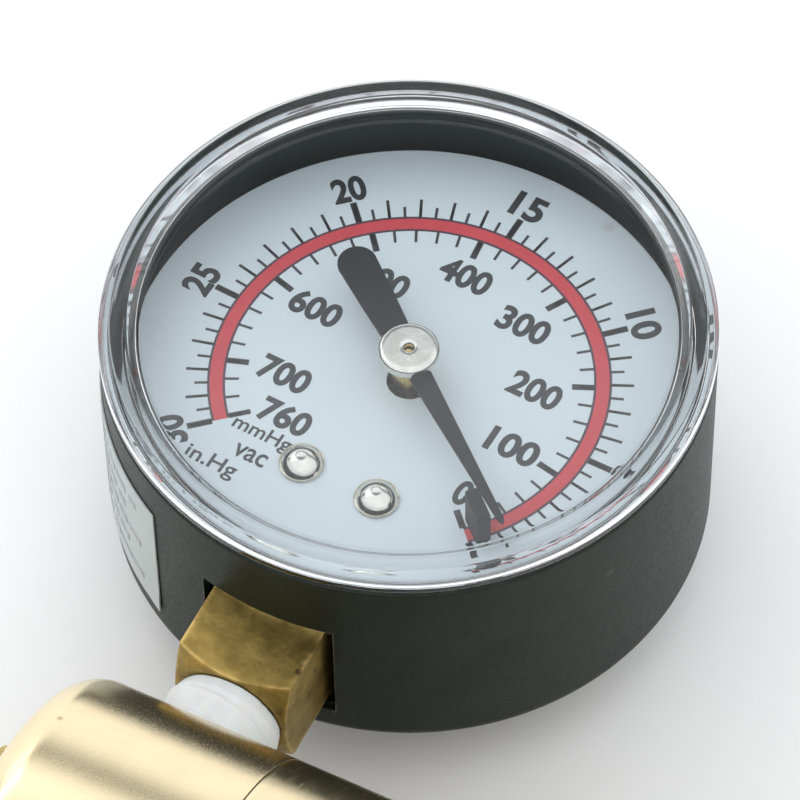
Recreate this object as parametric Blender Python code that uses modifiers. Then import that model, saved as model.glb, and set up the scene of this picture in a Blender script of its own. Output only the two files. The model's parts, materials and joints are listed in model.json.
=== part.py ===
"""Hand vacuum pump with a dial gauge, lying on its side.

Metres, +Z up. The barrel runs along X, with the hose end at -X and the handles at +X. The gauge stands off
the barrel towards +Y and faces up, and the handle and its lever reach towards -Y. Everything is laid out
from the point where the gauge stem's axis crosses the barrel's axis, and the whole pump is shifted at the
end so that the world origin is under the middle of its bounding box, on the surface it lies on.
"""

import math

import bmesh
import bpy
from mathutils import Matrix, Vector

MM = 0.001
GAP = 0.3 * MM  # clearance between pieces that touch or fit in each other
SEAM = 0.1 * MM  # clearance between flat shoulders that are tightened together

# Barrel and head. HEAD_* lengths are measured from the gauge stem's axis.
BARREL_R = 16.5 * MM
BORE_R = 13.5 * MM
HEAD_FRONT = 10.4 * MM
HEAD_BACK = 9.8 * MM
HEAD_FILLET = 3.5 * MM
SPIGOT_LENGTH = 6.2 * MM
PASSAGE_R = 2.0 * MM
ORING_WIRE_R = 0.7 * MM
ORING_GROOVE_FROM = 2.4 * MM  # from the shoulder the barrel seats on
VALVE_POCKET_R = 6.5 * MM
VALVE_POCKET_DEPTH = 3.5 * MM

# Piston and rod
PISTON_FIRST_GAP = 1.5 * MM  # between the head's spigot and the released piston
PISTON_LENGTH = 12.0 * MM
ROD_R = 4.0 * MM
ROD_EYE_R = 6.0 * MM
ROD_EYE_THICKNESS = 5.0 * MM
CROSS_PIN_R = 2.5 * MM
SPRING_WIRE_R = 0.65 * MM
SPRING_MEAN_R = BORE_R - 2.2 * MM
SPRING_TURNS = 7
SPRING_SQUEEZED = 11.5 * MM  # length of the return spring at full stroke

# Rod guide, which closes the barrel and carries the frame
GUIDE_LENGTH = 12.0 * MM
GUIDE_FLANGE = 3.0 * MM
BUSH_R = 6.2 * MM
FRAME_SCREW_CIRCLE = (BUSH_R + BORE_R) / 2 + 0.15 * MM
FRAME_SCREW_R = 1.5 * MM
FRAME_SCREW_HEAD_R = 2.8 * MM
FRAME_SCREW_HEAD = 3.0 * MM
FRAME_SCREW_BITE = 8.0 * MM  # how far the screws reach into the guide

# Lever mechanism
LEVER_SWEEP = math.radians(36)
LEVER_DROP = 24.0 * MM  # from the lever pin down to the rod's axis
LEVER_LENGTH = 112.0 * MM
LEVER_THICKNESS = 14.0 * MM
LEVER_HALF_WIDTH = 6.5 * MM
LEVER_PIN_R = 3.0 * MM
LEVER_BOSS_R = 7.0 * MM
PIN_HEAD_R = 5.0 * MM
PIN_RECESS = 2.0 * MM
SLOT_CLEARANCE = 0.35 * MM
SLOT_SPARE = 0.9 * MM  # the lever's slot runs this far past the cross pin's two end places

# Frame and grips
FRAME_WALL = 4.0 * MM
CHEEK = 4.0 * MM
EAR_R = 10.0 * MM
HANDLE_HALF_WIDTH = 8.0 * MM
HANDLE_CORE = 28.0 * MM
HANDLE_REACH = 104.0 * MM  # how far the handle's end lies below the rod's axis
GRIP_WALL = 2.2 * MM
HAND_GAP = 9.0 * MM  # between the two grips when the lever is squeezed home

# Gauge. Heights are measured from the dial's face.
GAUGE_SIDE_SHIFT = 0.45 * MM  # the gauge's centre lies this far to the +X side of its stem
GAUGE_REACH = 53.3 * MM  # from the barrel's axis to the gauge's centre
DIAL_TURN = math.radians(-3.2)  # the dial and movement sit slightly turned on the stem
DIAL_HEIGHT = 5.8 * MM  # dial's face above the stem's axis
CASE_R = 26.5 * MM
CASE_WALL = 0.8 * MM
DIAL_R = CASE_R - CASE_WALL - 0.8 * MM
DIAL_THICKNESS = 0.4 * MM
CASE_RISE = 7.6 * MM
CASE_DROP = 15.5 * MM
CASE_CORNER = 1.5 * MM
LENS_RISE = 9.9 * MM
LENS_WINDOW_RISE = 8.9 * MM
LENS_WINDOW = 1.6 * MM
LENS_SKIRT = 0.9 * MM
SOCKET_SIDE = 10.5 * MM
SOCKET_FRONT = 33.0 * MM  # from the gauge's centre to the block's front face
SOCKET_CHAMFER = math.radians(30)  # slope of the cone that trims the front face's corners
STEM_R = 4.4 * MM
STEM_END = 9.5 * MM  # the stem's end, from the barrel's axis
TAPE_R = 5.1 * MM
BOURDON_R = 17.6 * MM
BOURDON_HALF_THICKNESS = 1.1 * MM
BOURDON_HALF_HEIGHT = 3.0 * MM
DIAL_SCREW_X = 3.7 * MM
DIAL_SCREW_Y = 12.1 * MM
DIAL_SCREW_HEAD_R = 1.95 * MM
CASE_SCREW_HEAD_R = 2.4 * MM
CASE_SCREW_R = 1.0 * MM
LABEL_FROM = 187.0  # degrees round the case
LABEL_TO = 241.3
LABEL_LOW = -12.0 * MM
LABEL_HIGH = 3.0 * MM
LABEL_THICKNESS = 0.15 * MM
POINTER_RISE = 3.5 * MM
POINTER_THICKNESS = 0.4 * MM
POINTER_TIP = 19.0 * MM
POINTER_TAIL = 12.5 * MM
POINTER_REST = math.radians(-35.5)  # from the dial's +X, where the needle leans on its stop
HUB_R = 2.65 * MM
HUB_THICKNESS = 1.0 * MM
SHAFT_R = 0.8 * MM
PINION_R = 0.95 * MM
SECTOR_RATIO = 10
SECTOR_TEETH = 16
SECTOR_SPAN = 48.0  # degrees of teeth
TOOTH = 0.15 * MM
PLATE_THICKNESS = 0.7 * MM
PLATE_SPACING = 4.6 * MM
PILLAR_PLACES = ((-5.0 * MM, 0.2 * MM), (4.6 * MM, -3.2 * MM))
TAIL_ARM = 5.0 * MM
TAIL_ANGLE = -12.0
TIP_ANGLE = -18.0  # where the Bourdon tube's free end stops

# Release valve and hose nipple
RELEASE_SEAT_R = 3.2 * MM
RELEASE_KNOB_R = 6.5 * MM
RELEASE_BOTTOM = 6.0 * MM  # from the barrel's axis to the valve's seat
RELEASE_NECK_R = 1.3 * MM
RELEASE_CAP = 2.4 * MM  # how far the cap reaches into the head
NIPPLE_LENGTH = 22.0 * MM
NIPPLE_HEX_R = 8.0 * MM
NIPPLE_HEX_LENGTH = 4.0 * MM
NIPPLE_BORE_R = 1.6 * MM
NIPPLE_BARB_R = 3.4 * MM
NIPPLE_THREAD_R = 4.7 * MM
NIPPLE_THREAD_LENGTH = 5.4 * MM

# Sides given to round pieces
LARGE = 40
MEDIUM = 24
SMALL = 16

# Places worked out from the sizes above
AXIS_Z = BARREL_R
BARREL_START = HEAD_BACK + SEAM
PISTON_START = HEAD_BACK + SPIGOT_LENGTH + PISTON_FIRST_GAP
PISTON_END = PISTON_START + PISTON_LENGTH
STROKE = 2 * LEVER_DROP * math.tan(LEVER_SWEEP / 2)
GUIDE_START = PISTON_END + STROKE + SPRING_SQUEEZED
BARREL_END = GUIDE_START + GUIDE_LENGTH
FLANGE_START = BARREL_END + SEAM
FRAME_START = FLANGE_START + GUIDE_FLANGE + SEAM
FRAME_INSIDE = FRAME_START + FRAME_WALL
LEVER_SLOT_HALF_WIDTH = LEVER_HALF_WIDTH + 1.0 * MM
SCREW_DROP = FRAME_SCREW_CIRCLE * math.sin(math.pi / 4)
LEVER_FRONT_REACH = SCREW_DROP * math.tan(LEVER_SWEEP / 2) + LEVER_SLOT_HALF_WIDTH / math.cos(LEVER_SWEEP / 2)
CROSS_PIN_X = FRAME_INSIDE + FRAME_SCREW_HEAD + GAP + LEVER_FRONT_REACH
LEVER_PIN_X = CROSS_PIN_X + STROKE / 2
LEVER_PIN_Y = LEVER_DROP
GAUGE_X = GAUGE_SIDE_SHIFT
GAUGE_Y = GAUGE_REACH
DIAL_Z = AXIS_Z + DIAL_HEIGHT
CASE_FLOOR_Z = DIAL_Z - CASE_DROP + CASE_WALL
CASE_INNER_R = CASE_R - CASE_WALL
CASE_FRONT_Y = GAUGE_REACH - CASE_R
CASE_SCREW_Y = (GAUGE_REACH - 24.3 * MM, GAUGE_REACH - 14.3 * MM)  # along the stem, under the socket
FOOT_TOP_Z = CASE_FLOOR_Z + 4.5 * MM
BOURDON_Z = CASE_FLOOR_Z + 6.2 * MM
BACK_PLATE_Z = FOOT_TOP_Z + SEAM
FRONT_PLATE_Z = BACK_PLATE_Z + PLATE_SPACING
SECTOR_R = SECTOR_RATIO * PINION_R
SECTOR_PIVOT = (0.0, SECTOR_R + PINION_R + 0.35 * MM)
SECTOR_Z = AXIS_Z - 1.2 * MM

GOLD = ("champagne_gold", (0.72, 0.60, 0.38), 0.32, 1.0)
BRASS = ("brass", (0.66, 0.50, 0.22), 0.30, 1.0)
STEEL = ("steel", (0.62, 0.62, 0.60), 0.28, 1.0)
BLACK_PAINT = ("black_paint", (0.035, 0.040, 0.038), 0.45, 0.0)
CLEAR = ("clear_plastic", (0.90, 0.93, 0.95), 0.05, 0.0)
WHITE_PAINT = ("dial_white", (0.88, 0.90, 0.93), 0.40, 0.0)
TAPE_WHITE = ("thread_tape_white", (0.93, 0.93, 0.92), 0.60, 0.0)
LABEL_WHITE = ("label_white", (0.82, 0.83, 0.82), 0.50, 0.0)
RUBBER = ("black_rubber", (0.03, 0.03, 0.03), 0.70, 0.0)
NYLON = ("white_nylon", (0.85, 0.84, 0.80), 0.45, 0.0)
VINYL = ("black_vinyl", (0.05, 0.05, 0.055), 0.55, 0.0)

for old in list(bpy.data.objects):
    bpy.data.objects.remove(old, do_unlink=True)

pump = bpy.data.collections.new("hand_vacuum_pump")
bpy.context.scene.collection.children.link(pump)
cutters = bpy.data.collections.new("cutters")
bpy.context.scene.collection.children.link(cutters)


def empty(name, place, parent=None):
    """An empty at a place given from the stem's crossing; moving pieces hang on one at their joint's axis."""
    axis = bpy.data.objects.new(name, None)
    axis.empty_display_size = 5 * MM
    axis.location = Vector(place) - (Vector(parent["place"]) if parent else Vector())
    axis["place"] = tuple(place)
    axis.parent = parent
    pump.objects.link(axis)
    return axis


root = empty("pump_root", (0, 0, 0))
lever_axis = empty("lever_axis", (LEVER_PIN_X, LEVER_PIN_Y, AXIS_Z), root)
rod_axis = empty("rod_axis", (CROSS_PIN_X, 0, AXIS_Z), root)
release_axis = empty("release_axis", (0, -BARREL_R, AXIS_Z), root)
pointer_axis = empty("pointer_axis", (GAUGE_X, GAUGE_Y, DIAL_Z), root)


def on_dial(x, y):
    """The pump's X and Y of a point given on the turned dial."""
    turned_x = x * math.cos(DIAL_TURN) - y * math.sin(DIAL_TURN)
    turned_y = x * math.sin(DIAL_TURN) + y * math.cos(DIAL_TURN)
    return GAUGE_X + turned_x, GAUGE_Y + turned_y


sector_axis = empty("sector_axis", (*on_dial(*SECTOR_PIVOT), SECTOR_Z), root)


def material(look):
    name, colour, roughness, metallic = look
    made = bpy.data.materials.get(name)
    if made:
        return made
    made = bpy.data.materials.new(name)
    made.use_nodes = True
    shader = made.node_tree.nodes["Principled BSDF"]
    shader.inputs["Base Color"].default_value = (*colour, 1)
    shader.inputs["Roughness"].default_value = roughness
    shader.inputs["Metallic"].default_value = metallic
    made.diffuse_color = (*colour, 1)
    return made


def finish(obj, look, parent=root):
    """Puts a new object in the pump's collection, with its material and its parent."""
    for collection in list(obj.users_collection):
        collection.objects.unlink(obj)
    pump.objects.link(obj)
    obj.data.materials.append(material(look))
    obj.parent = parent
    obj.location -= Vector(parent["place"])
    return obj


def as_cutter(obj):
    """Hides a shape that only cuts or joins another."""
    for collection in list(obj.users_collection):
        collection.objects.unlink(obj)
    cutters.objects.link(obj)
    obj.display_type = "WIRE"
    obj.hide_render = True
    obj.parent = root
    return obj


def boolean(obj, other, operation):
    step = obj.modifiers.new(operation.lower(), "BOOLEAN")
    step.operation = operation
    step.solver = "EXACT"
    step.object = as_cutter(other)
    return obj


def cut(obj, *others):
    for other in others:
        boolean(obj, other, "DIFFERENCE")
    return obj


def join(obj, *others):
    for other in others:
        boolean(obj, other, "UNION")
    return obj


DIRECTIONS = {
    "+X": (0, math.pi / 2, 0),
    "-X": (0, -math.pi / 2, 0),
    "+Y": (-math.pi / 2, 0, 0),
    "-Y": (math.pi / 2, 0, 0),
    "+Z": (0, 0, 0),
}


def turned(name, profile, place=(0, 0, 0), along="+Z", steps=LARGE, closed=False):
    """A turned shape. The profile is (radius, height) points running down its outer side."""
    mesh = bpy.data.meshes.new(name)
    edges = [(i, i + 1) for i in range(len(profile) - 1)]
    if closed:
        edges.append((len(profile) - 1, 0))
    mesh.from_pydata([(radius, 0, height) for radius, height in profile], edges, [])
    obj = bpy.data.objects.new(name, mesh)
    obj.location = place
    obj.rotation_euler = DIRECTIONS[along]
    bpy.context.scene.collection.objects.link(obj)
    spin = obj.modifiers.new("turn", "SCREW")
    spin.axis = "Z"
    spin.steps = steps
    spin.render_steps = steps
    spin.use_merge_vertices = True
    spin.merge_threshold = 0.00001
    spin.use_smooth_shade = True
    return obj


def rod(name, radius, length, place=(0, 0, 0), along="+Z", steps=SMALL):
    """A plain cylinder that starts at its place and runs along one axis."""
    return turned(name, [(0, length), (radius, length), (radius, 0), (0, 0)], place, along, steps)


def tube(name, outer, inner, length, place=(0, 0, 0), along="+Z", steps=LARGE):
    ring = [(outer, length), (outer, 0), (inner, 0), (inner, length)]
    return turned(name, ring, place, along, steps, closed=True)


def box(name, low, high):
    bpy.ops.mesh.primitive_cube_add(size=1)
    obj = bpy.context.active_object
    obj.name = name
    low, high = Vector(low), Vector(high)
    obj.data.transform(Matrix.Diagonal((high - low)[:] + (1,)))
    obj.location = (low + high) / 2
    return obj


def hexagon(name, radius, length, place, along):
    bpy.ops.mesh.primitive_cylinder_add(vertices=6, radius=radius, depth=length)
    obj = bpy.context.active_object
    obj.name = name
    obj.data.transform(Matrix.Translation((0, 0, length / 2)))
    obj.location = place
    obj.rotation_euler = DIRECTIONS[along]
    return obj


def ring_seal(name, mean_radius, wire_radius, place, along, steps=MEDIUM):
    bpy.ops.mesh.primitive_torus_add(
        major_radius=mean_radius, minor_radius=wire_radius, major_segments=steps, minor_segments=8
    )
    obj = bpy.context.active_object
    obj.name = name
    obj.location = place
    obj.rotation_euler = DIRECTIONS[along]
    return obj


def mesh_from(curve_object):
    """The curve's evaluated mesh as an object of its own, with its caps welded on."""
    bpy.context.view_layer.update()
    evaluated = curve_object.evaluated_get(bpy.context.evaluated_depsgraph_get())
    mesh = bpy.data.meshes.new_from_object(evaluated)
    welded = bmesh.new()
    welded.from_mesh(mesh)
    bmesh.ops.remove_doubles(welded, verts=welded.verts, dist=0.000001)
    bmesh.ops.recalc_face_normals(welded, faces=welded.faces)
    welded.to_mesh(mesh)
    welded.free()
    name = curve_object.name
    matrix = curve_object.matrix_world.copy()
    bpy.data.objects.remove(curve_object, do_unlink=True)
    obj = bpy.data.objects.new(name, mesh)
    obj.matrix_world = matrix
    bpy.context.scene.collection.objects.link(obj)
    return obj


def plate(name, outlines, low, high):
    """A flat piece between two heights. The first outline is its edge and any others are holes."""
    curve = bpy.data.curves.new(name, "CURVE")
    curve.dimensions = "2D"
    curve.fill_mode = "BOTH"
    curve.extrude = (high - low) / 2
    for outline in outlines:
        spline = curve.splines.new("POLY")
        spline.points.add(len(outline) - 1)
        for point, (x, y) in zip(spline.points, outline):
            point.co = (x, y, 0, 1)
        spline.use_cyclic_u = True
    obj = bpy.data.objects.new(name, curve)
    obj.location = (0, 0, (low + high) / 2)
    bpy.context.scene.collection.objects.link(obj)
    return mesh_from(obj)


def wire(name, points, radius, place=(0, 0, 0), sides=1, flatten=1.0):
    """A round wire through the points, its section stretched along Z by flatten."""
    curve = bpy.data.curves.new(name, "CURVE")
    curve.dimensions = "3D"
    curve.bevel_depth = radius
    curve.bevel_resolution = sides
    curve.use_fill_caps = True
    spline = curve.splines.new("POLY")
    spline.points.add(len(points) - 1)
    for point, at in zip(spline.points, points):
        point.co = (*at, 1)
    obj = bpy.data.objects.new(name, curve)
    bpy.context.scene.collection.objects.link(obj)
    solid = mesh_from(obj)
    solid.data.transform(Matrix.Diagonal((1, 1, flatten, 1)))
    solid.location = place
    return solid


def round_edges(obj, width, segments=2, angle=50):
    bevel = obj.modifiers.new("round_edges", "BEVEL")
    bevel.width = width
    bevel.segments = segments
    bevel.limit_method = "ANGLE"
    bevel.angle_limit = math.radians(angle)
    return obj


def arc(centre, radius, start, end, count):
    """Points along an arc, both ends included, angles in degrees."""
    angles = [math.radians(start + (end - start) * i / count) for i in range(count + 1)]
    return [(centre[0] + radius * math.cos(a), centre[1] + radius * math.sin(a)) for a in angles]


def smooth_path(points, steps=5):
    """Catmull-Rom points through (x, y, half_width) controls."""
    controls = [Vector(p) for p in points]
    controls = [2 * controls[0] - controls[1], *controls, 2 * controls[-1] - controls[-2]]
    path = []
    for before, start, end, after in zip(controls, controls[1:], controls[2:], controls[3:]):
        for step in range(steps):
            t = step / steps
            path.append(
                0.5 * (2 * start + (end - before) * t + (2 * before - 5 * start + 4 * end - after) * t**2
                       + (3 * start - before - 3 * end + after) * t**3)
            )
    path.append(controls[-2])
    return path


def strip(path, extra=0.0, round_start=True, round_end=True):
    """The outline of a bar whose centre line and half width are the path's points."""
    left, right = [], []
    for i, point in enumerate(path):
        ahead = path[min(i + 1, len(path) - 1)] - path[max(i - 1, 0)]
        heading = math.atan2(ahead.y, ahead.x)
        half = point.z + extra
        side = Vector((-math.sin(heading), math.cos(heading)))
        left.append((point.x + side.x * half, point.y + side.y * half))
        right.append((point.x - side.x * half, point.y - side.y * half))
        if i == 0:
            first = heading
        last = heading
    outline = list(left)
    if round_end:
        end = math.degrees(last)
        outline += arc(path[-1].to_2d(), path[-1].z + extra, end + 90, end - 90, 8)[1:-1]
    outline += right[::-1]
    if round_start:
        start = math.degrees(first)
        outline += arc(path[0].to_2d(), path[0].z + extra, start - 90, start - 270, 8)[1:-1]
    return outline[::-1]


# ---------------------------------------------------------------- pump head, barrel and hose nipple


def build_head():
    front, back = -HEAD_FRONT, HEAD_BACK
    spigot_r = BORE_R - GAP
    spigot_end = back + SPIGOT_LENGTH
    port_floor = front + NIPPLE_THREAD_LENGTH + 2 * GAP
    groove = [back + ORING_GROOVE_FROM, back + ORING_GROOVE_FROM + 3 * ORING_WIRE_R]
    groove_r = BORE_R - 2.4 * ORING_WIRE_R
    fillet = arc((BARREL_R - HEAD_FILLET, front + HEAD_FILLET), HEAD_FILLET, 0, -90, 5)
    profile = [
        (spigot_r, spigot_end),
        (spigot_r, groove[1]),
        (groove_r, groove[1]),
        (groove_r, groove[0]),
        (spigot_r, groove[0]),
        (spigot_r, back),
        (BARREL_R, back),
        *fillet,
        (NIPPLE_THREAD_R + GAP, front),
        (NIPPLE_THREAD_R + GAP, port_floor),
        (PASSAGE_R, port_floor),
        (PASSAGE_R, spigot_end - VALVE_POCKET_DEPTH),
        (VALVE_POCKET_R, spigot_end - VALVE_POCKET_DEPTH),
        (VALVE_POCKET_R, spigot_end),
    ]
    head = turned("pump_head", profile, (0, 0, AXIS_Z), "+X", closed=True)
    drilling = RELEASE_BOTTOM + STEM_END + 1 * MM
    cut(
        head,
        rod("gauge_port", TAPE_R + GAP, BARREL_R, (0, STEM_END - GAP, AXIS_Z), "+Y", MEDIUM),
        rod("release_port", RELEASE_SEAT_R, BARREL_R, (0, -RELEASE_BOTTOM, AXIS_Z), "-Y", MEDIUM),
        rod("cross_drilling", PASSAGE_R * 0.8, drilling, (0, -RELEASE_BOTTOM - 1 * MM, AXIS_Z), "+Y"),
    )
    finish(head, GOLD)
    seal_middle = (groove[0] + groove[1]) / 2
    seal_r = BORE_R - 0.15 * MM - ORING_WIRE_R
    seal = ring_seal("head_oring", seal_r, ORING_WIRE_R, (seal_middle, 0, AXIS_Z), "+X")
    finish(seal, RUBBER)


def build_inlet_valve():
    """A rubber umbrella valve over the passage, held by a brass ring."""
    seat = HEAD_BACK + SPIGOT_LENGTH - VALVE_POCKET_DEPTH
    umbrella = [
        (0, 1.6 * MM),
        (1.5 * MM, 1.6 * MM),
        (1.5 * MM, 0.9 * MM),
        (5.4 * MM, 0.5 * MM),
        (5.4 * MM, 0),
        (0, 0),
    ]
    valve = turned("inlet_valve", umbrella, (seat + GAP, 0, AXIS_Z), "+X", SMALL)
    finish(valve, RUBBER)
    ring_place = (seat + 2.2 * MM, 0, AXIS_Z)
    ring = tube("inlet_valve_ring", VALVE_POCKET_R - GAP, 3.6 * MM, 1.2 * MM, ring_place, "+X", MEDIUM)
    finish(ring, BRASS)


def build_barrel():
    barrel = tube("pump_barrel", BARREL_R, BORE_R, BARREL_END - BARREL_START, (BARREL_START, 0, AXIS_Z), "+X")
    finish(barrel, GOLD)


def build_nipple():
    barbs = 3
    barb_length = (NIPPLE_LENGTH - NIPPLE_HEX_LENGTH - 2 * MM) / barbs
    profile = [(NIPPLE_BORE_R, NIPPLE_LENGTH), (NIPPLE_BARB_R - 0.9 * MM, NIPPLE_LENGTH)]
    for barb in range(barbs):
        top = NIPPLE_LENGTH - barb * barb_length
        if barb:
            profile.append((NIPPLE_BARB_R - 0.7 * MM, top))
        profile.append((NIPPLE_BARB_R, top - 0.75 * barb_length))
        profile.append((NIPPLE_BARB_R - 0.7 * MM, top - 0.8 * barb_length))
    profile += [
        (NIPPLE_BARB_R - 0.7 * MM, SEAM + NIPPLE_HEX_LENGTH / 2),
        (NIPPLE_THREAD_R, SEAM + NIPPLE_HEX_LENGTH / 2),
        (NIPPLE_THREAD_R, -NIPPLE_THREAD_LENGTH),
        (NIPPLE_BORE_R, -NIPPLE_THREAD_LENGTH),
    ]
    front = (-HEAD_FRONT, 0, AXIS_Z)
    nipple = turned("hose_nipple", profile, front, "-X", SMALL, closed=True)
    base = hexagon("nipple_hex", NIPPLE_HEX_R, NIPPLE_HEX_LENGTH, (-HEAD_FRONT - SEAM, 0, AXIS_Z), "-X")
    join(nipple, base)
    cut(nipple, rod("nipple_bore", NIPPLE_BORE_R, 40 * MM, (-HEAD_FRONT + 10 * MM, 0, AXIS_Z), "-X"))
    finish(nipple, BRASS)


# ---------------------------------------------------------------- release valve


def build_release_valve():
    """A knurled knob on a plunger, pulled outwards to let air in past its seal."""
    seat = -RELEASE_BOTTOM
    neck_r = RELEASE_NECK_R
    knob_gap = 0.8 * MM
    plunger_r = RELEASE_SEAT_R - GAP
    seal_top = 1.6 * MM
    cap_rim = 1.4 * MM
    cap_from = BARREL_R - RELEASE_BOTTOM - RELEASE_CAP
    knob_from = BARREL_R - RELEASE_BOTTOM + knob_gap + 1.6 * MM
    seal_place = (0, seat - GAP, AXIS_Z)
    seal = tube("release_seal", plunger_r - 0.2 * MM, neck_r + GAP, seal_top - GAP, seal_place, "-Y", SMALL)
    finish(seal, RUBBER, release_axis)
    profile = [
        (0, knob_from + 7.0 * MM),
        (RELEASE_KNOB_R - 1.0 * MM, knob_from + 7.0 * MM),
        (RELEASE_KNOB_R, knob_from + 6.0 * MM),
        (RELEASE_KNOB_R, knob_from + 1.0 * MM),
        (RELEASE_KNOB_R - 1.0 * MM, knob_from),
        (neck_r, knob_from),
        (neck_r, seal_top + 1.0 * MM),
        (plunger_r - 0.2 * MM, seal_top + 1.0 * MM),
        (plunger_r - 0.2 * MM, seal_top + GAP),
        (neck_r, seal_top + GAP),
        (neck_r, 0.6 * MM),
        (0, 0.6 * MM),
    ]
    knob = turned("release_knob", profile, (0, seat, AXIS_Z), "-Y", MEDIUM)
    flutes = 12
    for i in range(flutes):
        angle = 2 * math.pi * i / flutes
        groove = rod(
            f"knob_groove_{i + 1}", 0.7 * MM, 9 * MM,
            ((RELEASE_KNOB_R + 0.3 * MM) * math.cos(angle), seat - knob_from + 1 * MM,
             AXIS_Z + (RELEASE_KNOB_R + 0.3 * MM) * math.sin(angle)), "-Y", 8,
        )
        cut(knob, groove)
    finish(knob, BRASS, release_axis)
    cap_place = (0, seat - cap_from, AXIS_Z)
    cap = tube("release_cap", plunger_r, neck_r + GAP, RELEASE_CAP + cap_rim, cap_place, "-Y", SMALL)
    finish(cap, BRASS)
    spring_from = seat - seal_top - 1.3 * MM
    spring_to = seat - cap_from + GAP
    turns, per_turn, spring_r, spring_wire = 4, 10, 2.2 * MM, 0.25 * MM
    points = []
    for i in range(turns * per_turn + 1):
        angle = 2 * math.pi * i / per_turn
        share = i / (turns * per_turn)
        along = spring_from - spring_wire + (spring_to - spring_from + 2 * spring_wire) * share
        points.append((spring_r * math.cos(angle), along, spring_r * math.sin(angle)))
    finish(wire("release_spring", points, spring_wire, (0, 0, AXIS_Z), sides=0), STEEL)


# ---------------------------------------------------------------- piston, rod and return spring


def build_piston():
    length = PISTON_LENGTH
    land_r = BORE_R - 0.4 * MM
    seal_from, seal_to = 4.0 * MM, 8.4 * MM
    seal_floor = BORE_R - 3.0 * MM
    screw_r, screw_head_r, screw_head = 2.2 * MM, 5.0 * MM, 2.2 * MM
    rod_seat = 3.0 * MM
    profile = [
        (land_r, length),
        (land_r, seal_to),
        (seal_floor, seal_to),
        (seal_floor, seal_from),
        (land_r, seal_from),
        (land_r, 0),
        (screw_head_r + GAP, 0),
        (screw_head_r + GAP, screw_head),
        (screw_r + GAP, screw_head),
        (screw_r + GAP, rod_seat),
        (ROD_R + GAP, rod_seat),
        (ROD_R + GAP, length),
    ]
    piston = turned("piston", profile, (PISTON_START, 0, AXIS_Z), "+X", MEDIUM, closed=True)
    vent_circle = (ROD_R + seal_floor) / 2 + 0.4 * MM
    for i in range(4):
        angle = math.pi / 4 + math.pi / 2 * i
        place = (
            PISTON_START - 1 * MM,
            vent_circle * math.cos(angle),
            AXIS_Z + vent_circle * math.sin(angle),
        )
        cut(piston, rod(f"piston_vent_{i + 1}", 0.9 * MM, length + 2 * MM, place, "+X", 12))
    finish(piston, NYLON, rod_axis)

    cup = [
        (BORE_R - 0.15 * MM, seal_to - GAP),
        (BORE_R - 0.4 * MM, seal_from + 2.0 * MM),
        (BORE_R - 0.15 * MM, seal_from + GAP),
        (BORE_R - 1.0 * MM, seal_from + GAP),
        (BORE_R - 1.5 * MM, seal_from + 1.8 * MM),
        (BORE_R - 2.0 * MM, seal_from + GAP),
        (seal_floor + GAP, seal_from + GAP),
        (seal_floor + GAP, seal_to - GAP),
    ]
    finish(turned("piston_seal", cup, (PISTON_START, 0, AXIS_Z), "+X", MEDIUM, closed=True), RUBBER, rod_axis)

    flap_place = (PISTON_END + GAP, 0, AXIS_Z)
    flap_r = min(vent_circle + 2.0 * MM, SPRING_MEAN_R - SPRING_WIRE_R - GAP)
    flap = tube("exhaust_valve", flap_r, ROD_R + GAP, 0.7 * MM, flap_place, "+X", MEDIUM)
    finish(flap, RUBBER, rod_axis)

    screw_head_shape = [
        (0, 12 * MM),
        (screw_r, 12 * MM),
        (screw_r, screw_head - GAP),
        (screw_head_r, screw_head - GAP),
        (screw_head_r, 0.2 * MM),
        (0, 0.2 * MM),
    ]
    screw = turned("piston_screw", screw_head_shape, (PISTON_START, 0, AXIS_Z), "+X", SMALL)
    socket = hexagon("piston_screw_socket", 2.0 * MM, 2.0 * MM, (PISTON_START - 0.8 * MM, 0, AXIS_Z), "+X")
    finish(cut(screw, socket), STEEL, rod_axis)

    rod_start = PISTON_START + rod_seat + GAP
    round_length = CROSS_PIN_X - rod_start - LEVER_HALF_WIDTH - 3.5 * MM
    rod_profile = [
        (0, round_length),
        (ROD_R, round_length),
        (ROD_R, 0),
        (screw_r + GAP, 0),
        (screw_r + GAP, 10 * MM),
        (0, 10 * MM),
    ]
    bar = turned("piston_rod", rod_profile, (rod_start, 0, AXIS_Z), "+X", MEDIUM)
    eye_low = AXIS_Z - ROD_EYE_THICKNESS / 2
    eye_high = AXIS_Z + ROD_EYE_THICKNESS / 2
    tongue_half = ROD_R - 0.5 * MM
    tongue_start = rod_start + round_length - 2 * MM
    join(
        bar,
        box("rod_tongue", (tongue_start, -tongue_half, eye_low), (CROSS_PIN_X, tongue_half, eye_high)),
        rod("rod_eye", ROD_EYE_R, ROD_EYE_THICKNESS, (CROSS_PIN_X, 0, eye_low), "+Z", MEDIUM),
    )
    hole_low = (CROSS_PIN_X, 0, AXIS_Z - 10 * MM)
    cut(bar, rod("rod_eye_hole", CROSS_PIN_R + GAP, 20 * MM, hole_low, "+Z", MEDIUM))
    finish(bar, STEEL, rod_axis)
    pin_half = LEVER_THICKNESS / 2
    pin = rod("cross_pin", CROSS_PIN_R, 2 * pin_half, (CROSS_PIN_X, 0, AXIS_Z - pin_half), "+Z", MEDIUM)
    finish(round_edges(pin, 0.4 * MM, 1), STEEL, rod_axis)


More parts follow.
